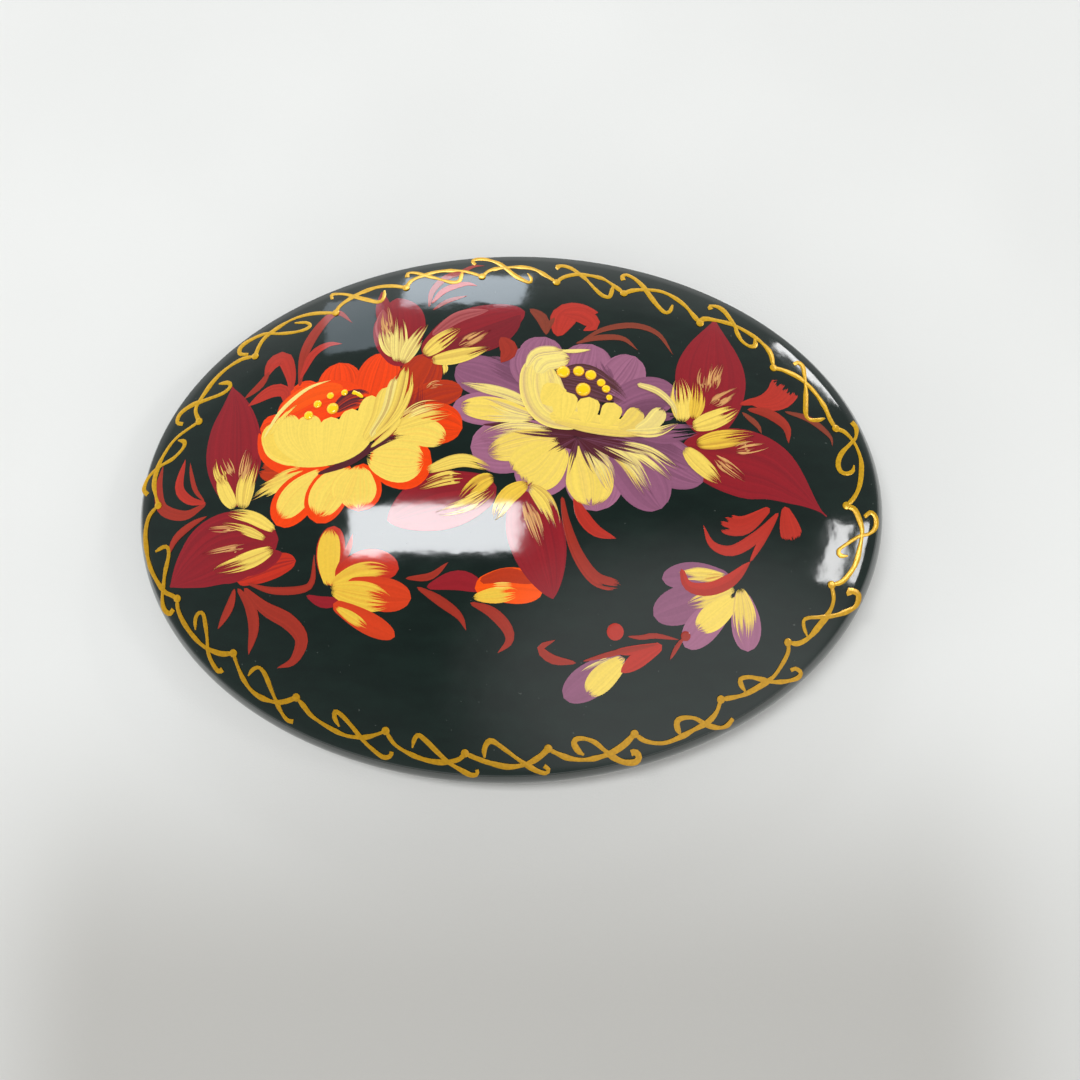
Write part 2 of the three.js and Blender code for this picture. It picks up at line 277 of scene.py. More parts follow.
# The turn from the face into the rim, then the flared rim, its foot and the hollow under the dome.
profile[-1:] = [(TOP_REACH - 0.10, dome_height(TOP_REACH, 0) + 0.028), (TOP_REACH + 0.06, 6.74)]
for s in steps(10)[1:]:
    drop = 0.06 + (RIM_HEIGHT - 0.30) * s
    profile.append((HALF_LENGTH - RIM_FLARE * (1 - drop / RIM_HEIGHT) ** FLARE_CURVE, RIM_TOP - drop))
profile += [(HALF_LENGTH - 0.05, RIM_BOTTOM + 0.06), (HALF_LENGTH - 0.25, RIM_BOTTOM)]
profile += [(HALF_LENGTH - 1.6, RIM_BOTTOM), (UNDERSIDE_REACH, RIM_BOTTOM)]
for s in steps(24, 1, 0)[1:]:
    profile.append((UNDERSIDE_REACH * s, RIM_BOTTOM + UNDERSIDE_RISE * (1 - s * s)))

bpy.ops.mesh.primitive_plane_add(size=MM, location=(0, 0, dome_height(0, 0) * MM))
plaque = bpy.context.object
plaque.name = "lacquered_plaque"
bpy.ops.object.transform_apply(location=True)
bpy.ops.object.mode_set(mode="EDIT")
bpy.ops.mesh.merge(type="CENTER")
before = (0, dome_height(0, 0))
for point in profile:
    move = ((point[0] - before[0]) * MM, 0, (point[1] - before[1]) * MM)
    bpy.ops.mesh.extrude_region_move(TRANSFORM_OT_translate={"value": move})
    before = point
bpy.ops.mesh.select_all(action="SELECT")
bpy.ops.mesh.spin(steps=SPIN_STEPS, angle=math.tau, center=(0, 0, 0), axis=(0, 0, 1))
bpy.ops.mesh.select_all(action="SELECT")
bpy.ops.mesh.remove_doubles(threshold=1e-6)
bpy.ops.transform.resize(value=(1, OVAL, 1), center_override=(0, 0, 0))
bpy.ops.mesh.normals_make_consistent(inside=False)
bpy.ops.object.mode_set(mode="OBJECT")
bpy.ops.object.shade_smooth_by_angle(angle=math.radians(40))

RIPPLE_HEIGHT = 0.00003


def ripple(where):
    """The unevenness that a brush leaves in a coat of lacquer, from long waves to short ones."""
    return grain(where, 0.10, 1) * 0.8 + grain(where, 0.28, 1) * 0.7 + grain(where, 0.9, 1) * 0.12


GROUND = srgb(12, 26, 21)
LACQUER = {"IOR": 1.5, "Specular IOR Level": 0.62}
lacquer_finish, tone, shader = new_finish("dark green lacquer", LACQUER)
where = place_on(tone)
brushed = grain(where, 0.22, 4, 0.6, (1, 2.4, 1)).between(0.3, 0.75)
specks = grain(where, 2.1, 1) > 0.79
ground_colour = brushed.tint(GROUND, srgb(17, 33, 27))
feed(tone, shader, Base_Color=(specks * 0.35).tint(ground_colour, srgb(105, 110, 104)))
feed(tone, shader, Roughness=brushed * 0.02 + 0.05)
feed(tone, shader, Normal=relief(tone, ripple(where), RIPPLE_HEIGHT))
plaque.data.materials.append(lacquer_finish)
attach(plaque, "plaque_and_plate")
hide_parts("plaque")

# ---------------------------------------------------------------------------------------------
# Red fronds: curled leaves and stems, the first colour laid on the ground with a pointed squirrel
# brush. Each stroke is a thin layer of oil paint whose bristle tracks lie side by side.

TRACK_WIDTH = 0.26
HALF_TRACK = 0.53
HAIR_TIP = 0.12
WITHIN_STROKE = 0.3
PAINT_DEPTH = 0.03
COAT_STEP = 0.002
FIRST_COAT = 0.006
STEP_ALONG = 0.5
LINER_STEP = 0.3


def curve(points):
    """A smooth line through points, as a function of its length from 0 to 1, and that length."""
    knots = [0]
    for a, b in zip(points, points[1:]):
        knots.append(knots[-1] + math.dist(a, b))
    head = (2 * points[0][0] - points[1][0], 2 * points[0][1] - points[1][1])
    tail = (2 * points[-1][0] - points[-2][0], 2 * points[-1][1] - points[-2][1])
    line = [head, *points, tail]

    def at(share):
        reach = min(max(share, 0), 1) * knots[-1]
        i = max(k for k in range(len(points) - 1) if knots[k] <= reach or k == 0)
        u = (reach - knots[i]) / (knots[i + 1] - knots[i])
        a, b, c, d = line[i:i + 4]
        weights = (-u + 2 * u * u - u ** 3, 2 - 5 * u * u + 3 * u ** 3,
                   u + 4 * u * u - 3 * u ** 3, u ** 3 - u * u)
        return tuple(sum(w * p[k] for w, p in zip(weights, (a, b, c, d))) / 2 for k in (0, 1))

    return at, knots[-1]


def mix(a, b, share):
    """The colour or point that is share of the way from a to b."""
    return tuple(p + (q - p) * share for p, q in zip(a, b))


def ease(value, low, high):
    """0 below low, 1 above high and a smooth step between them."""
    share = min(max((value - low) / (high - low), 0), 1)
    return share * share * (3 - 2 * share)


class Painting:
    """Paint of one piece: closed thin strips that follow the dome, with a colour at each point."""

    def __init__(self, name, seed):
        self.name = name
        self.points = []
        self.colours = []
        self.faces = []
        self.random = random.Random(seed)
        self.lift = FIRST_COAT

    def add(self, x, y, lift, colour):
        self.points.append((x * MM, y * MM, (dome_height(x, y) + lift) * MM))
        self.colours.append((*colour, 1))
        return len(self.points) - 1

    def strip(self, rows, crown=0):
        """A closed strip. Each row is its points across, left to right, and its colour."""
        tops, bottoms = [], []
        for across, colour in rows:
            last = len(across) - 1
            ring = []
            for i, (x, y) in enumerate(across):
                swell = crown * (1 - (2 * i / last - 1) ** 2)
                ring.append(self.add(x, y, self.lift + swell, colour))
            tops.append(ring)
            bottoms.append([self.add(*across[i], -PAINT_DEPTH, colour) for i in (0, -1)])
        for (top, bottom), (next_top, next_bottom) in zip(zip(tops, bottoms), zip(tops[1:], bottoms[1:])):
            for i in range(len(top) - 1):
                self.faces.append((top[i], next_top[i], next_top[i + 1], top[i + 1]))
            self.faces.append((bottom[0], next_bottom[0], next_top[0], top[0]))
            self.faces.append((top[-1], next_top[-1], next_bottom[1], bottom[1]))
            self.faces.append((bottom[1], next_bottom[1], next_bottom[0], bottom[0]))
        self.faces.append((*tops[0], bottoms[0][1], bottoms[0][0]))
        self.faces.append((bottoms[-1][0], bottoms[-1][1], *reversed(tops[-1])))

    def lay(self, place, length, breadth, colour, under, fray=0, head=0, feather=0.08, thin=0, fade=1.2,
            streak=0.10, track=TRACK_WIDTH):
        """Bristle tracks side by side: place(t, v) is the point at t along and v across. Tracks stop
        short by up to fray at the tail and head at the start, narrow over feather, and bare the colour
        under them."""
        columns = max(2, round(breadth / track))
        steps_along = max(6, min(30, round(length / STEP_ALONG)))
        for column in range(columns):
            draw = self.random.random
            start = head * draw()
            end = 1 - fray * draw() ** 1.3
            shade = 1 + streak * (draw() - 0.5)
            dry = thin * draw() ** 2
            wander = 0.35 * (draw() - 0.5)
            rows = []
            for step in range(steps_along + 1):
                even = step / steps_along
                t = start + (end - start) * (even + (1 - math.cos(math.pi * even)) / 2) / 2
                bared = min(1, dry + ease(t + wander, fade, fade + 0.35))
                tail = HAIR_TIP + (1 - HAIR_TIP) * ease(1 - even, 0, feather) if fray else 1
                pinch = tail * (HAIR_TIP + (1 - HAIR_TIP) * ease(even, 0, feather / 2) if head else 1)
                low = (column + 0.5 - HALF_TRACK * pinch) / columns
                high = (column + 0.5 + HALF_TRACK * pinch) / columns
                tint = mix(tuple(part * shade for part in colour), under, bared)
                rows.append(([place(t, low), place(t, high)], tint))
            self.strip(rows)
            self.lift += WITHIN_STROKE * COAT_STEP / columns
        self.lift += (1 - WITHIN_STROKE) * COAT_STEP

    def stroke(self, colour, width, points, under=None, start=0.3, peak=0.55, tip=0.5, crown=0, **manner):
        """One touch of the brush along points: narrow at its start, widest at peak, then closing."""
        at, length = curve(points)
        uneven = [self.random.random() for _ in range(12)]
        blunt = min(0.25, 0.5 * start * width / length)

        def breadth(t):
            if crown:
                spot = t * 10
                share = spot - int(spot)
                waver = uneven[int(spot)] * (1 - share) + uneven[int(spot) + 1] * share
                return width * (0.62 + 0.6 * waver) * (1 - ease(t, 0.93, 1) * 0.6)
            if t < peak:
                rounded = math.sqrt(1 - (1 - min(1, t / blunt)) ** 2)
                return width * rounded * (start + (1 - start) * math.sin(math.pi / 2 * t / peak))
            return width * max(0, 1 - ((t - peak) / (1 - peak)) ** 2) ** tip

        def place(t, v):
            x, y = at(t)
            ahead, behind = at(min(1, t + 0.02)), at(max(0, t - 0.02))
            run = math.hypot(ahead[0] - behind[0], ahead[1] - behind[1]) or 1.0
            side = (v - 0.5) * max(breadth(t), 0.02 * width)
            return x - (ahead[1] - behind[1]) / run * side, y + (ahead[0] - behind[0]) / run * side

        if crown:
            count = max(6, round(length / LINER_STEP))
            rows = [([place(t, 1 - v) for v in steps(4)], colour) for t in steps(count)]
            self.strip([(list(reversed(across)), tint) for across, tint in rows], crown)
            self.lift += COAT_STEP
        else:
            self.lay(place, length, width, colour, under or colour, **manner)

    def strokes(self, rows, **shared):
        """Strokes in the order in which they are laid. A row is a colour, the colour under it, a
        width, the coordinates of a path and, where it isn't the shared one, the manner."""
        for colour, under, width, *path in rows:
            manner = path.pop() if isinstance(path[-1], dict) else shared
            self.stroke(colour, width, list(zip(path[::2], path[1::2])), under, **manner)

    def dot(self, colour, x, y, radius, height, rim=None):
        """A round bead of thick paint, let fall from the tip of a stick."""
        rings, around = 5, 18
        hub = self.add(x, y, self.lift + height, colour)
        before_ring = None
        for ring in range(1, rings + 1):
            share = ring / rings
            tint = rim if rim and ring == rings else colour
            swell = height * math.sqrt(1 - share * share)
            reach = [(radius * share * math.cos(a), radius * share * math.sin(a))
                     for a in steps(around, 0, math.tau)[:-1]]
            made = [self.add(x + dx, y + dy, self.lift + swell, tint) for dx, dy in reach]
            for i in range(around):
                j = (i + 1) % around
                if before_ring:
                    self.faces.append((before_ring[i], made[i], made[j], before_ring[j]))
                else:
                    self.faces.append((hub, made[i], made[j]))
            before_ring = made
        low = [self.add(x + dx, y + dy, -PAINT_DEPTH, rim or colour) for dx, dy in reach]
        for i in range(around):
            j = (i + 1) % around
            self.faces.append((before_ring[i], low[i], low[j], before_ring[j]))
        self.faces.append(tuple(reversed(low)))

    def dried(self, finish):
        """The finished piece, riding on the plaque."""
        mesh = bpy.data.meshes.new(self.name)
        mesh.from_pydata(self.points, [], self.faces)
        paint = mesh.attributes.new("paint", "FLOAT_COLOR", "POINT")
        paint.data.foreach_set("color", [part for colour in self.colours for part in colour])
        mesh.materials.append(finish)
        piece = bpy.data.objects.new(self.name, mesh)
        bpy.context.scene.collection.objects.link(piece)
        bpy.ops.object.select_all(action="DESELECT")
        bpy.context.view_layer.objects.active = piece
        piece.select_set(True)
        bpy.ops.object.mode_set(mode="EDIT")
        bpy.ops.mesh.select_all(action="SELECT")
        bpy.ops.mesh.normals_make_consistent(inside=False)
        bpy.ops.object.mode_set(mode="OBJECT")
        bpy.ops.object.shade_smooth_by_angle(angle=math.radians(55))
        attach(piece, "plaque_and_plate")


def form(start, peak, tip, **more):
    """A manner of painting by its outline: how wide it starts, where it is widest, how it closes."""
    return {"start": start, "peak": peak, "tip": tip, **more}


def paint_finish(name, shine, ridge, mottle, **constants):
    """Paint in the colours of its strokes, mottled, under the same clear lacquer as the ground."""
    finish, tone, shader = new_finish(name, LACQUER | constants)
    where = place_on(tone)
    stroke_colour = tone.node("ShaderNodeAttribute", {"attribute_name": "paint"}, {}, "Color")
    hair = grain(where, 3.2, 3, 0.6)
    cloudy = hair.between(0.25, 0.75) * mottle + (1.03 - mottle / 2)
    feed(tone, shader, Base_Color=tone.blend("MULTIPLY", 1, stroke_colour, cloudy))
    feed(tone, shader, Roughness=hair * 0.06 + shine)
    feed(tone, shader, Normal=relief(tone, ripple(where) + hair * ridge, RIPPLE_HEIGHT))
    return finish


oil_finish = paint_finish("oil paint", 0.04, 0.06, 0.08)

RED = srgb(184, 48, 34)
BRICK = srgb(160, 46, 30)
BROWN_RED = srgb(136, 58, 38)
ORANGE_RED = srgb(198, 46, 24)
DARK_RED = srgb(140, 34, 32)
FROND = form(0.25, 0.45, 0.9, fray=0, streak=0.18, track=0.2)
FLARED = dict(FROND, peak=0.85, tip=0.35, fray=0.2)

fronds = Painting("red_fronds", 11)


FRONDS = [
    (BRICK, 1.4, -35.3, -0.3, -38, -1.5, -41, -0.5, -41.8, 2, -41.5, 5),
    (RED, 1.2, -35.3, -0.2, -37.5, 0.3, -39, 2, -38.5, 5.5),
    (BRICK, 0.6, -35.5, 0, -36.8, 1.5, -37.5, 3.5, -37.8, 5),
    (RED, 1.9, -25.5, 13.2, -25.8, 15.4, -26.9, 17.8, -28.3, 17.3, -29.1, 15.2, dict(FROND, peak=0.6)),
    (BRICK, 0.9, -28.6, 16.2, -29.6, 14.4, -31.5, 12.7),
    (RED, 1.7, -25.9, 11.2, -26.3, 13.1, -28, 13.4, -30.9, 11.7),
    (BRICK, 1.3, -24.5, 13.8, -24.3, 18.5, -22.7, 22.2, -20.8, 24, -18.7, 22.3),
    (RED, 1, -24.5, 14.8, -23.3, 18, -21.5, 19.3, -19.7, 19.3),
    (BRICK, 0.9, -9.3, 24, -9, 26.5, -7.5, 28.5, -5.8, 29.2, -4.2, 30.2, -2.8, 30.3),
    (RED, 0.9, -9, 24.5, -7.5, 26.5, -5, 27.4, -3.5, 27),
    (BRICK, 0.6, -8.8, 23.5, -7, 24.8, -4.7, 25.5),
    (RED, 3.2, 6.3, 19.3, 7.2, 22.2, 8.9, 22.9, 11.2, 22.8, dict(FROND, peak=0.4)),
    (RED, 2.3, 6.9, 22.6, 9.2, 22.4, 10.6, 21, 9.4, 20.1, dict(FROND, peak=0.4)),
    (BROWN_RED, 1.4, 3, 23.3, 4.5, 21.8, 5, 19.5),
    (BROWN_RED, 0.7, 6, 22, 5.3, 20.8, 5.1, 19.6),
    (BROWN_RED, 0.8, 9.3, 18.8, 12, 20.4, 15.5, 21, 18.3, 19.9, 20, 17),
    (BROWN_RED, 0.8, 8.5, 18.3, 11, 19.1, 14, 19.1, 15.8, 17.5),
    (BRICK, 2.1, -0.4, 19.2, 0.6, 17.4, -0.3, 15.7),
    (RED, 0.9, 27.6, 10.8, 29.8, 11.4, 31.5, 11.5),
    (RED, 3.6, 28.6, 11.2, 30.8, 11.3, 32.4, 12.1, 33.5, 13.6,
     dict(FROND, start=0.12, peak=0.95, tip=0.2, fray=0.12)),
    (BRICK, 1.3, 28.5, 10.2, 31, 9.8, 33, 8.3, 33.2, 6.2),
    (BROWN_RED, 0.8, 33, 10.2, 36, 9.4, 38.3, 7.5, 38.6, 6.2),
    (BROWN_RED, 0.7, 27.8, 9.8, 29.5, 8.3, 30, 7.2),
    (RED, 0.8, 28, -8, 29.8, -5, 31.5, -2.5),
    (RED, 2.4, 30.5, -1.8, 27.3, -3.9, 24.6, -3.6, FLARED),
    (RED, 1.3, 31.5, -2.3, 29, -5, 26, -6.8, 23.7, -6.2, 22.7, -4),
    (RED, 2.6, 32.3, -1.5, 32.7, -3.5, 33.1, -5.4, FLARED),
    (RED, 1.5, 8.2, -0.9, 9, -3, 10.5, -4.8, 12.8, -5.7),
    (BRICK, 1.5, 6.8, -1, 7.3, -4, 8.5, -7.5, 10.5, -10.2, 13.3, -11, FLARED),
    (BRICK, 1.1, -9.5, -11, -7, -12.5, -4.8, -14.2, -4, -15.8),
    (BRICK, 1.3, -3.5, -12.8, -1.2, -13.8, 0.5, -15.5, 0.8, -17, -0.5, -18.3),
    (BRICK, 0.8, -10.8, -10, -8, -9.8, -6, -8.3),
    (BRICK, 1, -31.2, -10.5, -31.8, -12.5, -33.3, -15),
    (BRICK, 1.4, -30.8, -10.5, -29.3, -12.5, -28.8, -15, -29.5, -18),
    (BRICK, 1.8, -30, -10.5, -27.5, -12.8, -24.5, -14.5, -23, -16.5, -24, -18.8, -26, -19.6),
    (BRICK, 0.9, -29.5, -10, -26.5, -10.9, -23, -10.9, -21.7, -10, -21.5, -7),
    (BRICK, 0.9, -40, -6.2, -39, -4.2, -37, -2.7, -35, -1.8),
    (BRICK, 0.6, 14, -16.5, 15.5, -16.6, 17, -16.4, 19.7, -16.8),
    (BRICK, 0.5, 18.7, -19, 19.7, -17.3, 20.5, -16.4),
    (BRICK, 0.6, 9, -19.2, 13, -18.2, 17.5, -17.3),
    (BRICK, 1, 8.2, -19.4, 5.6, -19, 4.3, -17.8, 5.9, -16.9),
]
fronds.strokes([(colour, None, *rest) for colour, *rest in FRONDS], **FROND)
fronds.dot(BRICK, 20.5, -16.4, 0.55, 0.05)
fronds.dot(RED, 12.6, -16, 0.95, 0.05)
fronds.dried(oil_finish)

# ---------------------------------------------------------------------------------------------
# Crimson buds: large closed buds and leaves filled with crimson, then touched with cream from a
# nearly dry flat brush, so that its bristles leave combed streaks of crimson between the cream.

CRIMSON = srgb(148, 26, 36)
MAROON = srgb(126, 24, 34)
WASHED_ROSE = srgb(176, 84, 84)
CREAM = srgb(247, 215, 96)
PALE_CREAM = srgb(248, 226, 128)
DEEP_CREAM = srgb(240, 198, 66)
TAN = srgb(222, 166, 100)
DRY = {"fray": 0.75, "head": 0.35, "thin": 0.7, "fade": 0.75, "streak": 0.16, "track": 0.13, "feather": 0.5}
FULL = {"fray": 0.34, "head": 0.04, "thin": 0.25, "fade": 0.85, "streak": 0.1, "track": 0.15,
        "feather": 0.3}
LONG = {"fray": 0.55, "head": 0.04, "thin": 0.4, "fade": 0.7, "streak": 0.12, "track": 0.14, "feather": 0.4}

TOUCH = form(0.45, 0.4, 0.45)
FULL_TOUCH = TOUCH | FULL
DRY_TOUCH = TOUCH | DRY
LONG_TOUCH = TOUCH | LONG
BODY = form(0.45, 0.5, 0.8, thin=0.6, streak=0.12)

buds = Painting("crimson_buds", 23)

buds.strokes([
    # Left bud.
    (CRIMSON, MAROON, 7.2, -31.3, -0.9, -31.9, 3.6, -32.3, 8, -32.6, 11.6, -33.3, 14.6,
     BODY | form(0.35, 0.42, 1.1)),
    # Lower left bud and its sepal.
    (ORANGE_RED, MAROON, 3, -31, -9.6, -27.6, -8.4, -25.2, -7.8, -23.7, -7.6, dict(BODY, tip=0.5)),
    (CRIMSON, MAROON, 2.2, -30.4, -8.8, -27.4, -7.4, -25.4, -6.6, dict(BODY, tip=0.7)),
    (CRIMSON, MAROON, 8.4, -25.9, -5, -29.4, -5.3, -33.4, -6, -36.6, -7.8, -39.6, -9.9,
     BODY | form(0.32, 0.42, 1)),
    # Two buds at the top.
    (CRIMSON, MAROON, 6.4, -12.1, 15.6, -12.7, 19.2, -12.8, 22.6, -13.4, 25.6,
     BODY | form(0.3, 0.55, 0.7)),
    (CRIMSON, MAROON, 2.2, -14.3, 22, -15, 24.4, -15.4, 26.8, BODY | form(0.9, 0.2, 0.9)),
    (WASHED_ROSE, MAROON, 2, -13.6, 18, -14.7, 21, -15, 24, BODY | form(0.4, 0.5, 0.8)),
    (CRIMSON, MAROON, 5.8, -9.6, 17, -5.4, 20, -1.2, 21.6, 2.4, 22.9, BODY | form(0.4, 0.5, 0.6)),
    (MAROON, MAROON, 3.4, -7, 17.6, -2.2, 19, 0.4, 20.6, 1.9, 22.4, dict(BODY, tip=0.8)),
    (WASHED_ROSE, MAROON, 1.6, -8.6, 19.8, -5.6, 22.3, -2, 23.2, BODY | form(0.4, 0.5, 0.8)),
    # Right buds.
    (CRIMSON, MAROON, 8.4, 23, 6.6, 24, 11, 24.4, 15, 24.8, 18.6, 25.4, 22.6,
     BODY | form(0.45, 0.45, 1.35)),
    (CRIMSON, MAROON, 8.3, 20.4, 4.9, 24, 4.1, 28, 3.4, 31, 2.4, 34, 0.3, 37.3, -2.4,
     BODY | form(0.4, 0.4, 1.7)),
    # Middle buds.
    (CRIMSON, MAROON, 6.8, -0.6, 0.2, -4.4, -0.8, -8.4, -1.6, -13, -3.4, BODY | form(0.4, 0.5, 0.75)),
    (CRIMSON, MAROON, 6.4, 3.1, 1, 3.4, -3.2, 4.4, -7.4, 5.7, -12.4, BODY | form(0.35, 0.45, 0.8)),
], **BODY)

buds.strokes([
    (CREAM, CRIMSON, 1.8, -31.5, -1.1, -32.8, 0.8, -33.8, 3.2),
    (CREAM, CRIMSON, 1.5, -32.8, 1.6, -33.8, 3.4, -34.4, 5.2, DRY_TOUCH),
    (CREAM, CRIMSON, 2.3, -30.5, -1.3, -30.2, 1.8, -29.2, 4.9, LONG_TOUCH),
    (TAN, CRIMSON, 1.4, -30.8, 1.8, -30.5, 4, -30.2, 6.2, DRY_TOUCH),
    (TAN, CRIMSON, 1.1, -31.9, 2.8, -32.8, 4.4, -33.7, 6, DRY_TOUCH),
    (CREAM, CRIMSON, 1.5, -26.3, -4, -29.3, -2.3, -32.4, -1.6),
    (CREAM, CRIMSON, 1.1, -27.5, -4.9, -30, -3.8, -33.1, -2.9, LONG_TOUCH),
    (TAN, CRIMSON, 0.8, -31, -3.6, -32.6, -3.5, -35, -3.4, DRY_TOUCH),
    (CREAM, CRIMSON, 2, -26.5, -6.2, -29.5, -7.3, -34, -8.4, LONG_TOUCH),
    (TAN, CRIMSON, 1, -29.4, -5.5, -32.2, -6, -35.6, -6.4, DRY_TOUCH),
    (PALE_CREAM, CRIMSON, 2, -12.9, 17, -14, 19, -14.8, 21.6, LONG_TOUCH),
    (PALE_CREAM, CRIMSON, 2.2, -12.6, 16.2, -12.7, 19.4, -13, 23, LONG_TOUCH),
    (PALE_CREAM, CRIMSON, 2, -12, 16, -10.9, 18.6, -9.3, 21.4, LONG_TOUCH),
    (TAN, CRIMSON, 1.6, -13.8, 20, -14.4, 22, -14.7, 24.6, DRY_TOUCH),
    (CREAM, CRIMSON, 2.2, -9.5, 17, -7.5, 18.9, -5.2, 20.6, LONG_TOUCH),
    (TAN, CRIMSON, 1.7, -5.4, 18.1, -3.6, 19.1, -1.6, 20.4, DRY_TOUCH),
    (CREAM, CRIMSON, 2, -8.6, 16.2, -5.5, 16.7, -1.6, 17.8, dict(FULL_TOUCH, tip=0.8)),
    (CREAM, CRIMSON, 0.6, -7, 15.7, -6.8, 15, -7, 14.2, dict(FULL_TOUCH, tip=0.9, start=0.9)),
    (CREAM, TAN, 2.6, 20.7, 8.2, 20.7, 11, 20.6, 14, LONG_TOUCH),
    (DEEP_CREAM, CRIMSON, 1.8, 22, 8.6, 22.6, 11, 22.7, 14.2, LONG_TOUCH),
    (CREAM, CRIMSON, 2.2, 21.8, 7.6, 24.5, 8.7, 27.4, 10.2),
    (TAN, CRIMSON, 1.8, 23.5, 12, 23.6, 14, 24.3, 16.4, DRY_TOUCH),
    (TAN, CRIMSON, 1.5, 24.6, 12.6, 24.9, 14.4, 25.8, 16.2, DRY_TOUCH),
    (TAN, CRIMSON, 1.5, 24, 10.4, 25.6, 11.5, 27.6, 12.9, DRY_TOUCH),
    (DEEP_CREAM, CRIMSON, 2.2, 22.2, 5.5, 25, 6.2, 29.2, 7, LONG_TOUCH),
    (CREAM, CRIMSON, 2.1, 20.8, 5, 22.5, 3.2, 24.9, 1),
    (TAN, CRIMSON, 1.5, 24.2, 4.2, 25.8, 2.8, 28, 1.2, DRY_TOUCH),
    (TAN, CRIMSON, 1.6, 26.6, 4.9, 28.2, 5.3, 31, 5.9, DRY_TOUCH),
    (CREAM, CRIMSON, 1.6, -8.6, 2.3, -4.5, 3.4, -0.9, 2.3),
    (CREAM, CRIMSON, 1.6, -3.4, 1.4, -6.4, 1.3, -9.6, 0.2, DRY_TOUCH),
    (DEEP_CREAM, CRIMSON, 2, -0.9, 1.4, -2.5, 0.6, -4.9, -1.6, LONG_TOUCH),
    (CREAM, CRIMSON, 1.8, -0.9, 0, -4, -1.8, -7.6, -2.8, DRY_TOUCH),
    (DEEP_CREAM, CRIMSON, 2, 2.9, 0.6, 0.6, -1, -0.8, -3.6),
    (CREAM, CRIMSON, 2, 3.2, 0.3, 4.9, -1.6, 6.3, -5, LONG_TOUCH),
    (TAN, CRIMSON, 1.8, 2.6, -1.4, 3.6, -4, 4.6, -7, DRY_TOUCH),
], **FULL_TOUCH)
buds.dried(oil_finish)

# ---------------------------------------------------------------------------------------------
# Orange peony, in oil paint: back petals and throat in orange, then the turned-down petals, the
# cream cup and a thin cream line round the lip of the cup.

ORANGE = srgb(246, 66, 0)
HOT_ORANGE = srgb(250, 84, 0)
DUSKY_ORANGE = srgb(186, 52, 14)
WINE = srgb(84, 32, 40)
PETAL = form(0.45, 0.58, 0.5, streak=0.12)
BACK_PETAL = form(0.6, 0.5, 0.5, streak=0.14, thin=0.5, track=0.2)
CUP = form(0.5, 0.72, 0.5, streak=0.09, track=0.18)
CREAM_PETAL = form(0.4, 0.6, 0.5, fray=0.1, head=0.1, fade=1, streak=0.08, track=0.16,
                   feather=0.12, thin=0.1)

